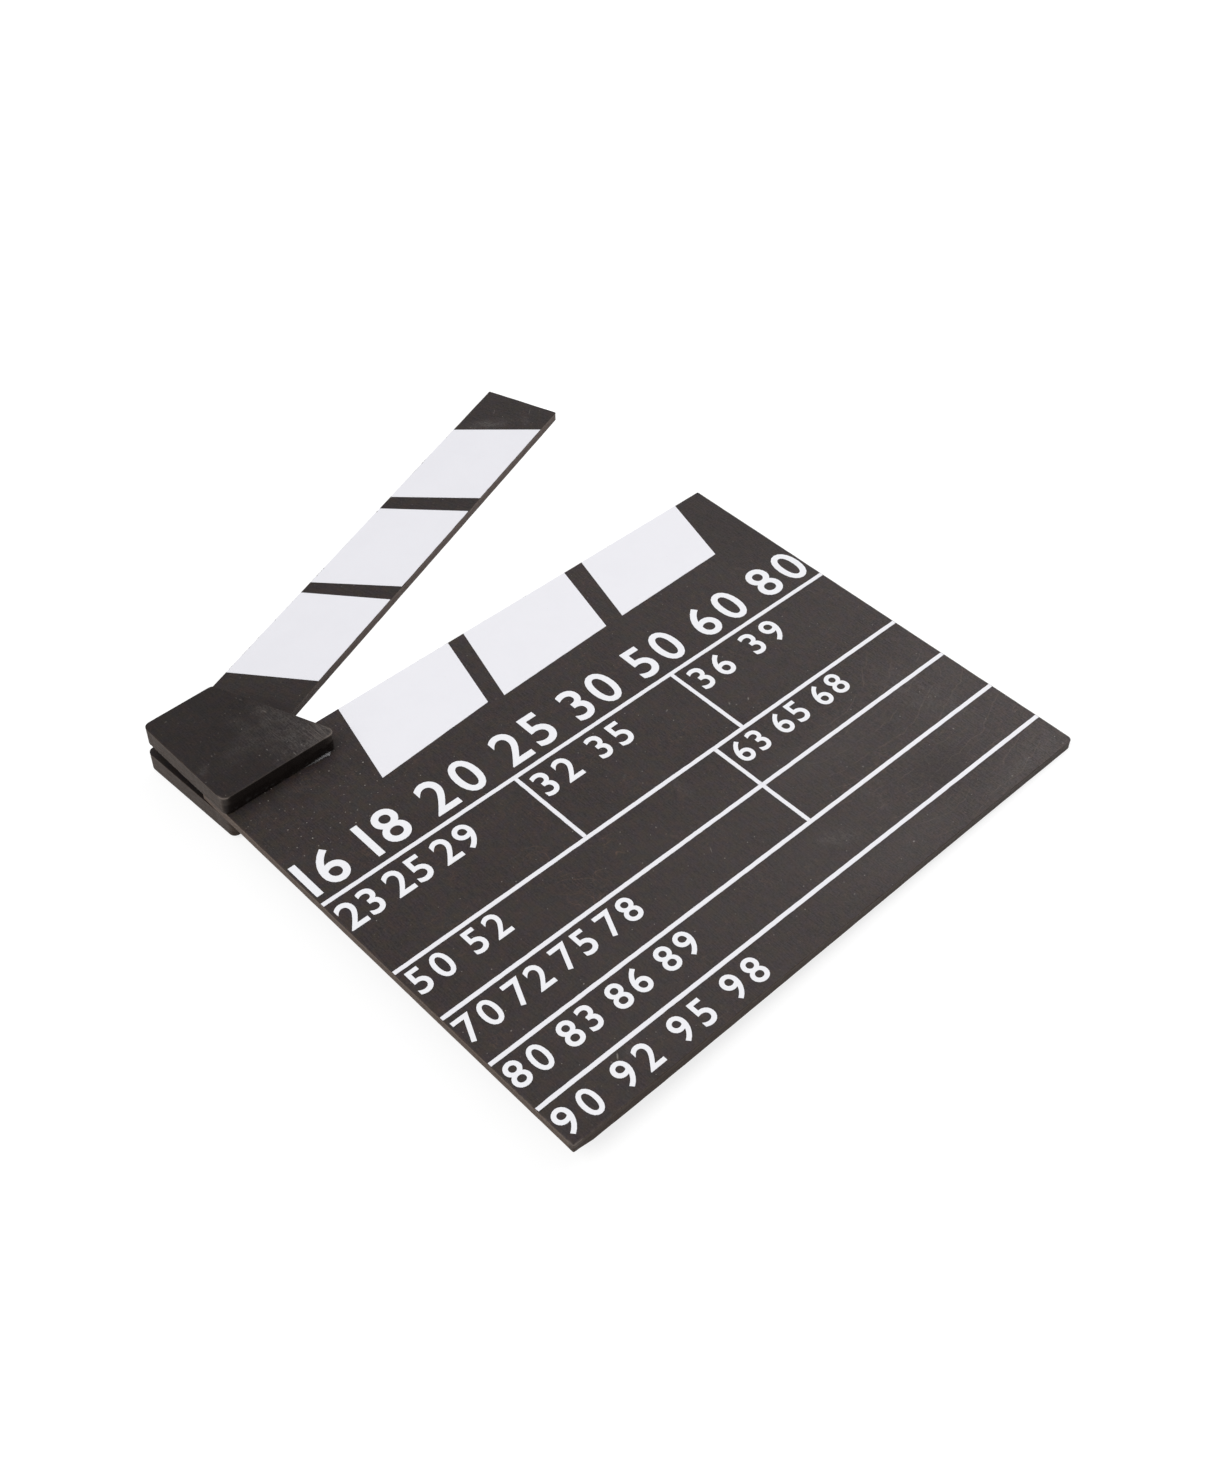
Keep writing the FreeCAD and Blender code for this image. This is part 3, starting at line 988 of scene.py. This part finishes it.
def worn_through(slate, grain):
    """Mask of worn wood: small clouds, with the grain standing out in them."""
    cloud = haze(slate, size=5.0, low=0.32, high=0.68)
    speckle = wood_grain(slate, angle=math.pi / 2, along=2.2, across=0.4)
    fine = ramp(grain, 0.2, 0.8, 0.1, 0.7) + ramp(speckle, 0.1, 0.9, 0.0, 0.6)
    return between(cloud, 0.42, 1.08) * fine


def cheek_marks(place, tone, grain, settings):
    """Scuffs and knocks on the front cheek, and sanding to pale streaks at its lower right corner."""
    slate = slate_place(place)
    tone = patched(tone, slate, CHEEK_SCUFFS, settings.scuff, worn_through(slate, grain))
    corner = spot(slate, SANDED_CORNER, half_length=10.0, half_width=13.0)
    lines = wood_grain(place, angle=math.pi / 2, along=13 * MM, across=0.4 * MM)
    tone = mix(corner * ramp(lines, 0.35, 0.9, 0.0, 0.34), tone, settings.rim)
    return patched(tone, slate, CHEEK_KNOCKS, settings.dust)


def stick_marks(place, tone, grain, settings):
    """Scuffs, scratches, denser stain and a painted shadow of the front cheek on the stick's black ends."""
    slate = slate_place(place)
    # Denser stain, and the painted shadow beside the front cheek
    tone = patched(tone, slate, STICK_STAINS, settings.stain)
    tone = patched(tone, slate, STICK_SCUFFS, settings.scuff, worn_through(slate, grain))
    return patched(tone, slate, STICK_KNOCKS, settings.dust)


def slate_rings(slate):
    """Growth rings on the slate: thin level lines of a parabolic distance, made to waver and broken up.

    With d the distance along X from the rings' axis and w the distance below their focus, the level is
    (w + sqrt(w^2 + k d^2)) / 2, whose level lines are nested arches that open upwards."""
    offset = calc("SUBTRACT", RING_FOCUS, slate, kind="VectorMath")
    below = axis(offset, "Y")
    aside = calc("POWER", calc("ABSOLUTE", axis(offset, "X")), 2.0) * RING_SPREAD
    level = (below + calc("SQRT", calc("MULTIPLY_ADD", below, below, aside))) * 0.5
    level = calc("MULTIPLY_ADD", noise(slate, scale=0.05, roughness=0.55), 8.0, level)
    strong = ramp(calc("PINGPONG", level / RING_SPACING, 0.5), 0.008, 0.035, 1.0, 0.0)
    faint = ramp(calc("PINGPONG", level / (RING_SPACING / 3), 0.5), 0.02, 0.1, 0.35, 0.0)
    line = calc("MAXIMUM", strong, faint) * ramp(noise(slate, scale=0.09), 0.33, 0.55)
    region = spot(slate, RING_REGION, half_length=82.0, half_width=78.0)
    return line * ramp(region, 0.0, 0.5)


def slate_marks(place, tone, grain, settings):
    """Growth rings, wavy reddish cracks, scuffs, faded stain with painted sheen, dirt with a painted contact
    shadow, denser stain with painted shade, fallen dust and knocks on the slate.
    """
    slate = slate_place(place)
    tone = mix(slate_rings(slate) * 0.13, tone, settings.bare_wood)
    cracks = growth_rings(place, angle=0.6, along=24 * MM, across=16 * MM, count=7.0, line=0.05)
    region = spot(slate, CRACK_REGION, angle=0.3, half_length=62.0, half_width=46.0)
    tone = mix(cracks * region * 0.3, tone, settings.crack)
    # Faded stain, and painted sheen towards the lower right
    tone = patched(tone, slate, SLATE_FADED, settings.scuff)
    tone = patched(tone, slate, SLATE_SCUFFS, settings.scuff, worn_through(slate, grain))
    # Dark splits, and a painted contact shadow beside the front cheek
    tone = patched(tone, slate, SLATE_DIRT, settings.soil)
    # Denser stain, and painted shade over the top right corner
    tone = patched(tone, slate, SLATE_STAINS, settings.stain)
    dusty = spot(slate, DUST_REGION, half_length=62.0, half_width=36.0)
    dust = specks(slate, along=5.2, across=5.2, size=0.065, share=0.75)
    tone = mix(dust * ramp(dusty, 0.0, 0.6, 0.0, 0.95), tone, settings.dust)
    return patched(tone, slate, SLATE_KNOCKS, settings.dust)


def stained_edge(name, settings, base, ply, lightness, marks=None):
    """Stained ply edge: layers of different tone, fine lines between, fibres, rubbed places, and dirt with
    painted shade.

    marks(run, tone, soil) may add what the piece has of its own."""
    material, coords = new_material(name, settings.edge_gloss, settings.sheen)
    run = coords["UV"]
    layers = ply_layers(run, base, ply)
    dark, light = (np.multiply(rgb, lightness) for rgb in (settings.edge_stain, settings.edge_light))
    tone = mix(layers["tone"], dark, light)
    fibres = wood_grain(run, along=6 * MM, across=0.3 * MM)
    tone = mix(fibres * 0.4, tone, light * 1.15)
    tone = mix(layers["lines"] * 0.35, tone, settings.stain)
    # Darkened by dirt and by painted shade, as stored on the plates' points
    soil = stored(run, "soil")
    tone = mix(soil, tone, settings.soil)
    if marks is not None:
        tone = marks(run, tone, soil)
    tone = mix(stored(run, "rub") * 0.8, tone, settings.rim)
    return finish(material, tone, between(fibres, 0.62, 0.5), fibres - layers["lines"], 0.02 * MM)


def foot_smears(run, tone, soil):
    """Thin dried glue wiped over the lower part of the front cheek's foot."""
    low = ramp(axis(run, "Y"), CHEEK_LOW.z + 0.8 * MM, CHEEK_LOW.z + 4.5 * MM, 1.0, 0.0)
    blots = haze(run, size=2.6 * MM, low=0.52, high=0.72)
    return mix(low * blots * (soil * 0.5), tone, bpy.context.scene.clapper_glue.thin)


def white_film(settings):
    """White vinyl: faint clouding, greyer on the stick, a slight orange-peel skin and a little grime."""
    material, coords = new_material("white_film")
    place = coords["Object"]
    cloud = haze(place, size=0.02, low=0.35, high=0.7)
    tone = mix(cloud, settings.film, settings.film_shade)
    on_stick = ramp(axis(place, "Y"), BOARD_HIGH.y, BOARD_HIGH.y + 5 * MM)
    tone = mix(on_stick, tone, settings.stick_tint, "MULTIPLY")
    grime = specks(place, along=0.011, across=0.011, size=0.02, share=0.25)
    tone = mix(grime * 0.35, tone, settings.grime)
    skin = noise(place, scale=900.0, detail=2.0, dimensions="3D")
    return finish(material, tone, between(cloud, 0.36, 0.46), skin, 0.006 * MM)


def dried_glue(settings):
    """Dried white glue: milky where thick, clearer towards its rim, with a glossy uneven skin."""
    material, coords = new_material("dried_glue")
    place = coords["Object"]
    cloud = haze(place, size=1.5 * MM, low=0.3, high=0.7)
    milky = stored(place, "thick") * between(cloud, 0.5, 1.0)
    tone = mix(milky, settings.thin, settings.thick)
    return finish(material, tone, between(cloud, 0.22, 0.4), cloud, 0.04 * MM)


def glue_line(settings):
    """Brownish glue that shows as a line between the pieces, with dirt in it."""
    material, coords = new_material("glue_line", gloss=0.3)
    cloud = haze(coords["Object"], size=2 * MM, low=0.35, high=0.7)
    tone = mix(cloud, settings.hidden, np.multiply(settings.hidden, 2.2))
    return finish(material, tone, between(cloud, 0.4, 0.6))


def dowel_wood(settings):
    """Bare dowel: straight grain along Z."""
    material, coords = new_material("dowel_wood", gloss=0.4)
    upright = {"Vector": coords["Object"], "Rotation": (0.0, math.pi / 2, 0.0)}
    streaks = wood_grain(add(material.node_tree, "Mapping", upright), along=0.008, across=0.0004)
    tone = mix(streaks, settings.bare_wood, settings.stain_light)
    return finish(material, tone, between(streaks, 0.55, 0.7), streaks, 0.02 * MM)


# Settings

def rgb_property(name, description, default):
    """Colour property in linear values."""
    return bpy.props.FloatVectorProperty(
        name=name, description=description, default=default, subtype="COLOR", size=3, min=0.0, max=1.0)


def length_property(name, description, default):
    """Length property in metres."""
    return bpy.props.FloatProperty(
        name=name, description=description, default=default, unit="LENGTH", min=0.0, precision=5)


def number_property(name, description, default):
    """Plain factor."""
    return bpy.props.FloatProperty(name=name, description=description, default=default, min=0.0)


def turn_property(name, description, degrees):
    """Angle property."""
    return bpy.props.FloatProperty(
        name=name, description=description, default=math.radians(degrees), unit="ROTATION")


def place_property(name, description, default):
    """Point of the frame."""
    return bpy.props.FloatVectorProperty(
        name=name, description=description, default=default, subtype="XYZ", unit="LENGTH")


class PlywoodSettings(bpy.types.PropertyGroup):
    """Black-stained plywood"""

    stain: rgb_property("Stain", "Darkest colour of the stained face", (0.0085, 0.0063, 0.0059))
    stain_light: rgb_property("Thin stain", "Face between the dark streaks", (0.0375, 0.0293, 0.0278))
    haze: rgb_property("Haze", "Dusty clouds on the face", (0.036, 0.030, 0.0275))
    # Also the colour of the painted sheen on the slate
    scuff: rgb_property("Scuff", "Pale rubbed patches", (0.085, 0.077, 0.073))
    bare_wood: rgb_property("Bare wood", "Wood where the stain has rubbed through", (0.24, 0.17, 0.12))
    rim: rgb_property("Rubbed rim", "Edges and corners that are rubbed pale", (0.19, 0.16, 0.14))
    crack: rgb_property("Crack", "Wavy reddish lines in the veneer", (0.20, 0.115, 0.08))
    dust: rgb_property("Dust", "Pale specks on the face", (0.36, 0.33, 0.30))
    edge_stain: rgb_property("Edge stain", "Darker plies of the edges", (0.0245, 0.0172, 0.0130))
    edge_light: rgb_property("Thin edge stain", "Lighter plies of the edges", (0.0367, 0.0262, 0.0199))
    # Colour of dirt and dark glue, and of painted shade and painted shadow on the edges and beside the front
    # cheek
    soil: rgb_property("Soil", "Dirt and dark glue on the edges", (0.006, 0.0042, 0.0035))
    sheen: rgb_property("Sheen", "Tint of the stain's gloss", (1.0, 0.86, 0.86))
    board_gloss: number_property("Board gloss", "Specular level of the board's face", 0.36)
    stick_gloss: number_property("Stick gloss", "Specular level of the stick's face", 0.31)
    cheek_gloss: number_property("Cheek gloss", "Specular level of the cheeks' faces", 0.28)
    edge_gloss: number_property("Edge gloss", "Specular level of the edges", 0.13)
    grain_length: length_property("Grain length", "Length of a grain streak", 6 * MM)
    grain_width: length_property("Grain width", "Width of a grain streak", 0.55 * MM)
    mottle: length_property("Mottling", "Size of the fine mottling", 0.9 * MM)
    arris: length_property("Edge rounding", "Mean radius of the sanded edges", 0.12 * MM)
    rub: number_property("Rubbing", "How far the edges are rubbed all round", 0.1)
    corner_blunting: length_property("Corner blunting", "How far the corners are worn round", 0.5 * MM)
    ply_count: bpy.props.IntProperty(name="Plies", description="Layers in the board", default=3, min=1)
    cheek_plies: bpy.props.IntProperty(name="Cheek plies", description="Layers in a cheek", default=7, min=1)
    ply_hollow: length_property("Ply hollow", "How far each ply of an edge is sanded hollow", 0.04 * MM)
    saw_wander: length_property("Saw wander", "Waviness of the sawn edges", 0.03 * MM)


class FilmSettings(bpy.types.PropertyGroup):
    """White vinyl film"""

    film: rgb_property("Film", "Colour of the film", (0.812, 0.807, 0.847))
    film_shade: rgb_property("Clouded film", "Colour of its faint clouds", (0.798, 0.793, 0.833))
    stick_tint: rgb_property("Stick tint", "Greying of the film on the stick", (0.965, 0.965, 0.968))
    grime: rgb_property("Grime", "Specks on the film", (0.35, 0.32, 0.30))
    cut_wander: length_property("Cut wander", "How far a cut edge strays", 0.05 * MM)
    torn_depth: length_property("Torn depth", "Notches in the stick's stripes at its upper edge", 0.25 * MM)
    edge_reach: length_property("Edge reach", "How far stripes lap over their plate's edge", 0.2 * MM)
    weight: number_property("Number weight", "Thickening of the digits, as a share of their size", 0.011)
    word_gap: number_property("Number gap", "Gap between numbers, in gaps between digits", 2.6)
    hand_shift: length_property("Hand shift", "How far a digit strays from its line", 0.12 * MM)
    hand_turn: turn_property("Hand turn", "How far a digit is turned", 0.3)


class GlueSettings(bpy.types.PropertyGroup):
    """Dried glue"""

    thick: rgb_property("Thick glue", "Milky middle of the bead", (0.17, 0.17, 0.175))
    thin: rgb_property("Thin glue", "Where the wood shows through", (0.045, 0.042, 0.042))
    hidden: rgb_property("Glue line", "Glue between the pieces", (0.014, 0.011, 0.010))
    bead_width: length_property("Bead width", "Half width of the bead under the front cheek", 1.0 * MM)
    bead_height: length_property("Bead height", "Height of the bead", 0.9 * MM)


class StageSettings(bpy.types.PropertyGroup):
    """Floor, light and camera"""

    floor: rgb_property("Floor", "Colour of the floor", (0.85, 0.85, 0.85))
    floor_size: length_property("Floor size", "Side of the floor", 12.0)
    floor_white: number_property("Floor white", "White that the camera sees under the floor's shading", 0.77)
    floor_shading: number_property("Floor shading", "How much of the floor's shading the camera sees", 0.3)
    fill: number_property("Fill", "Strength of the light from all round", 0.53)
    key: number_property("Key", "Power of the softbox at the right, in watts", 126.0)
    back: number_property("Back", "Power of the softbox at the left, in watts", 112.0)
    camera_place: place_property(
        "Camera", "Where the camera stands", (-252.45 * MM, -511.99 * MM, 592.81 * MM))
    camera_aim: place_property("Aim", "Point that the camera looks at", tuple(on_slate(152.52, 139.71)))
    camera_roll: turn_property("Roll", "Turn of the camera about its line of sight", 1.171)
    lens: bpy.props.FloatProperty(
        name="Lens", description="Focal length on a 36 mm frame", default=44.42, min=1.0, unit="CAMERA")


SETTINGS = {
    "clapper_plywood": PlywoodSettings,
    "clapper_film": FilmSettings,
    "clapper_glue": GlueSettings,
    "clapper_stage": StageSettings,
}


# Studio

FLOOR_CORNERS = 3           # along each side of the floor
CLEAR_FLOOR = (0.5, 1.5)    # from here on out, in metres, the floor turns white
# Middle of the painted light on the floor under the open stick, on the slate
BELOW_STICK = (175.0, 297.0)
SOFTBOX_SIZE = 3.0
SOFTBOX_DISTANCE = 5.0
RIGHT_LIGHT = (0.85, 0.05, 0.5)
LEFT_LIGHT = (-0.65, 0.05, 0.75)
SENSOR_WIDTH = 36.0


def seen_directly(tree):
    """1 for camera, glossy and transmission rays, which see the white background, and 0 for the rest."""
    rays = add(tree, "LightPath")
    seen = calc("MAXIMUM", rays["Is Camera Ray"], rays["Is Glossy Ray"])
    return calc("MAXIMUM", seen, rays["Is Transmission Ray"])


def floor_level(place, settings):
    """White that the camera sees on the floor, raised to full far away, and below the open stick as painted
    light that hides the stick's shadow there.
    """
    away = calc("LENGTH", place, kind="VectorMath")["Value"]
    # Painted light that takes the stick's shadow off the floor
    below = spot(place, on_slate(*BELOW_STICK), -STICK_OPEN, half_length=175 * MM, half_width=34 * MM)
    clear = calc("MAXIMUM", ramp(away, *CLEAR_FLOOR), ramp(below, 0.0, 0.3))
    return between(clear, settings.floor_white, 1.0)


def floor_material(settings):
    """Matte floor. The camera sees its shading weakly over white, so that only the near shadow stays."""
    material = bpy.data.materials.new("studio_floor")
    material.use_nodes = True
    tree = material.node_tree
    tree.nodes.clear()
    place = add(tree, "TexCoord")["Object"]
    matte = add(tree, "BsdfDiffuse", {"Color": (*settings.floor, 1.0)})
    weak = add(tree, "BsdfDiffuse", {"Color": (*[settings.floor_shading] * 3, 1.0)})
    white = add(tree, "Emission", {"Color": floor_level(place, settings)})
    shown = add(tree, "AddShader", {0: weak, 1: white})
    surface = add(tree, "MixShader", {0: seen_directly(tree), 1: matte, 2: shown})
    output = tree.nodes.new("ShaderNodeOutputMaterial")
    tree.links.new(surface.socket, output.inputs["Surface"])
    return material


def make_floor(settings):
    """Flat floor under the rear cheek's lower right edge and the board's right edge, which rest on it."""
    tilt = math.atan2(BOARD_LOW.z - REAR_LOW.z, BOARD_HIGH.x - REAR_HIGH.x)
    side = np.linspace(-settings.floor_size / 2, settings.floor_size / 2, FLOOR_CORNERS)
    x, y = np.meshgrid(side, side, indexing="ij")
    z = np.tan(tilt) * (x - REAR_HIGH.x) + REAR_LOW.z
    points = np.stack((x, y, z), axis=-1).reshape(-1, 3)
    first = np.arange(len(points)).reshape(x.shape)[:-1, :-1].ravel()
    quads = first[:, None] + np.array([0, FLOOR_CORNERS, FLOOR_CORNERS + 1, 1])
    floor = mesh_object("studio_floor", points, quads.tolist(), floor_material(settings))
    floor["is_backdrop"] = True


def make_world(scene, settings):
    """Even grey fill from all round, with a white backdrop up to a third of the sky for what looks at it."""
    world = bpy.data.worlds.new("studio")
    world.use_nodes = True
    scene.world = world
    tree = world.node_tree
    background = tree.nodes["Background"].inputs
    background["Color"].default_value = (1.0, 1.0, 1.0, 1.0)
    rise = axis(add(tree, "TexCoord")["Generated"], "Z")
    backdrop = ramp(rise, 0.15, 0.45, 1.0 - settings.fill, 0.0)
    strength = seen_directly(tree) * backdrop + settings.fill
    tree.links.new(strength.socket, background["Strength"])


def add_softbox(name, direction, power):
    """Square area light that faces the middle of the object."""
    light = bpy.data.lights.new(name, "AREA")
    light.shape = "SQUARE"
    light.size = SOFTBOX_SIZE
    light.energy = power
    lamp = bpy.data.objects.new(name, light)
    lamp.location = (CAD_BOX[0] + CAD_BOX[1]) / 2 + Vector(direction).normalized() * SOFTBOX_DISTANCE
    lamp.rotation_euler = Vector(direction).to_track_quat("Z", "Y").to_euler()
    bpy.context.scene.collection.objects.link(lamp)


def add_camera(scene, settings):
    """Camera at the viewing angle, turned about its line of sight."""
    data = bpy.data.cameras.new("camera")
    data.lens = settings.lens
    data.sensor_width = SENSOR_WIDTH
    camera = bpy.data.objects.new("camera", data)
    place, aim = Vector(settings.camera_place), Vector(settings.camera_aim)
    facing = (aim - place).to_track_quat("-Z", "Y")
    roll = Quaternion((0.0, 0.0, 1.0), settings.camera_roll)
    camera.matrix_world = Matrix.Translation(place) @ (facing @ roll).to_matrix().to_4x4()
    scene.collection.objects.link(camera)
    scene.camera = camera


# Operators

def finish_node(node, material):
    """Give a CAD node that stays in view its only material."""
    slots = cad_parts[node].data.materials
    slots.clear()
    slots.append(material)


class CLAPPER_OT_board(bpy.types.Operator):
    """Make the slate board of stained plywood"""

    bl_idname = "clapper.board"
    bl_label = "Slate Board"

    def execute(self, context):
        settings = context.scene.clapper_plywood
        face = stained_face("slate_face", settings, math.pi / 2, settings.board_gloss, marks=slate_marks)
        ply = BOARD_THICKNESS / settings.ply_count
        edge = stained_edge("slate_edge", settings, BOARD_LOW.z, ply, lightness=2.7)
        make_plate("slate_board", "slate", PLATE_STEP, settings, face, edge, seed=11,
                   chips=board_chips, sawn=board_sawn, rub=board_rub, soil=board_soil)
        return {"FINISHED"}


class CLAPPER_OT_stick(bpy.types.Operator):
    """Make the clap stick of stained plywood"""

    bl_idname = "clapper.stick"
    bl_label = "Clap Stick"

    def execute(self, context):
        settings = context.scene.clapper_plywood
        face = stained_face("stick_face", settings, math.pi / 2 - STICK_OPEN, settings.stick_gloss,
                            lightness=0.75, marks=stick_marks)
        ply = BOARD_THICKNESS / settings.ply_count
        edge = stained_edge("stick_edge", settings, BOARD_LOW.z, ply, lightness=(2.45, 2.5, 2.78))
        make_plate("clap_stick", "stick", PLATE_STEP, settings, face, edge, seed=23,
                   rub=stick_rub, soil=stick_soil)
        return {"FINISHED"}


class CLAPPER_OT_cheeks(bpy.types.Operator):
    """Make the two hinge cheeks of stained plywood"""

    bl_idname = "clapper.cheeks"
    bl_label = "Hinge Cheeks"

    def execute(self, context):
        settings = context.scene.clapper_plywood
        ply = CHEEK_THICKNESS / settings.cheek_plies
        # The front cheek's chips and rubbing, and the painted shade of its foot
        worn = {"chips": cheek_chips, "rub": cheek_rub, "soil": cheek_soil}
        for node, low, seed, face_marks, edge_marks, wear in (
                ("front_cheek", CHEEK_LOW.z, 37, cheek_marks, foot_smears, worn),
                ("rear_cheek", REAR_LOW.z, 53, None, None, {})):
            face = stained_face(f"{node}_face", settings, math.pi / 2, settings.cheek_gloss,
                                lightness=0.5, marks=face_marks)
            edge = stained_edge(f"{node}_edge", settings, low, ply, lightness=1.23, marks=edge_marks)
            make_plate(node, "slate", CHEEK_STEP, settings, face, edge, seed, **wear)
        return {"FINISHED"}


class CLAPPER_OT_film(bpy.types.Operator):
    """Lay the film lines and stripes"""

    bl_idname = "clapper.film"
    bl_label = "Film Lines and Stripes"

    def execute(self, context):
        settings = context.scene.clapper_film
        material = white_film(settings)
        for seed, node in enumerate(RULES + DIVIDERS + BOARD_STRIPES + STICK_STRIPES, 100):
            piece = tube_object(f"{node}_film", laid_film(node, settings, seed), material, sides=False)
            keep(piece, "stick" if node in STICK_STRIPES else "slate", "white_film", node)
        return {"FINISHED"}


class CLAPPER_OT_numbers(bpy.types.Operator):
    """Lay the plain film numbers"""

    bl_idname = "clapper.numbers"
    bl_label = "Film Numbers"

    def execute(self, context):
        settings = context.scene.clapper_film
        glyphs = number_glyphs(settings.weight, FILM_THICKNESS)
        rng = np.random.default_rng(seed=7)
        material = bpy.data.materials["white_film"]
        for number, row in enumerate(NUMBER_ROWS, 1):
            points, faces = number_row(glyphs, *row, settings, rng)
            keep(mesh_object(f"numbers_{number}", points, faces, material), "slate", "white_film")
        return {"FINISHED"}


class CLAPPER_OT_glue(bpy.types.Operator):
    """Make the dried glue under the front cheek and finish the glue films"""

    bl_idname = "clapper.glue"
    bl_label = "Dried Glue"

    def execute(self, context):
        settings = context.scene.clapper_glue
        rings, thick = bead_rings(settings)
        piece = tube_object("glue_bead_dried", rings, dried_glue(settings))
        add_values(piece, "thick", thick)
        keep(piece, "slate", "dried_glue", "glue_bead")
        line = glue_line(settings)
        for node in ("front_glue_film", "rear_glue_film"):
            finish_node(node, line)
        return {"FINISHED"}


class CLAPPER_OT_dowel(bpy.types.Operator):
    """Finish the dowel that the stick turns on"""

    bl_idname = "clapper.dowel"
    bl_label = "Pivot Dowel"

    def execute(self, context):
        finish_node("pivot_dowel", dowel_wood(context.scene.clapper_plywood))
        return {"FINISHED"}


class CLAPPER_OT_stage(bpy.types.Operator):
    """Set the floor, light and camera"""

    bl_idname = "clapper.stage"
    bl_label = "Studio"

    def execute(self, context):
        scene = context.scene
        settings = scene.clapper_stage
        make_floor(settings)
        make_world(scene, settings)
        add_softbox("softbox_right", RIGHT_LIGHT, settings.key)
        add_softbox("softbox_left", LEFT_LIGHT, settings.back)
        add_camera(scene, settings)
        scene.view_settings.view_transform = "Standard"
        return {"FINISHED"}


OPERATORS = (
    CLAPPER_OT_board,
    CLAPPER_OT_stick,
    CLAPPER_OT_cheeks,
    CLAPPER_OT_film,
    CLAPPER_OT_numbers,
    CLAPPER_OT_glue,
    CLAPPER_OT_dowel,
    CLAPPER_OT_stage,
)


class CLAPPER_PT_panel(bpy.types.Panel):
    """Lists the steps that dress the clapperboard"""

    bl_idname = "CLAPPER_PT_panel"
    bl_label = "Clapperboard"
    bl_space_type = "VIEW_3D"
    bl_region_type = "UI"
    bl_category = "Clapperboard"

    def draw(self, context):
        for operator in OPERATORS:
            self.layout.operator(operator.bl_idname)
        for name, group in SETTINGS.items():
            box = self.layout.box()
            box.label(text=group.__doc__)
            for label in group.__annotations__:
                box.prop(getattr(context.scene, name), label)


CLASSES = (*SETTINGS.values(), *OPERATORS, CLAPPER_PT_panel)


def register():
    """Register the classes and hang the settings on the scene."""
    for item in CLASSES:
        bpy.utils.register_class(item)
    for name, group in SETTINGS.items():
        setattr(bpy.types.Scene, name, bpy.props.PointerProperty(type=group))


def unregister():
    """Take the settings off the scene and the classes out again."""
    for name in SETTINGS:
        delattr(bpy.types.Scene, name)
    for item in reversed(CLASSES):
        bpy.utils.unregister_class(item)


def main():
    """Dress the part and take its size with and without the dressing."""
    register()
    for operator in OPERATORS:
        group, name = operator.bl_idname.split(".")
        getattr(getattr(bpy.ops, group), name)()
    boxes = {"cad": CAD_BOX, "visual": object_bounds()}


if __name__ == "__main__":
    main()
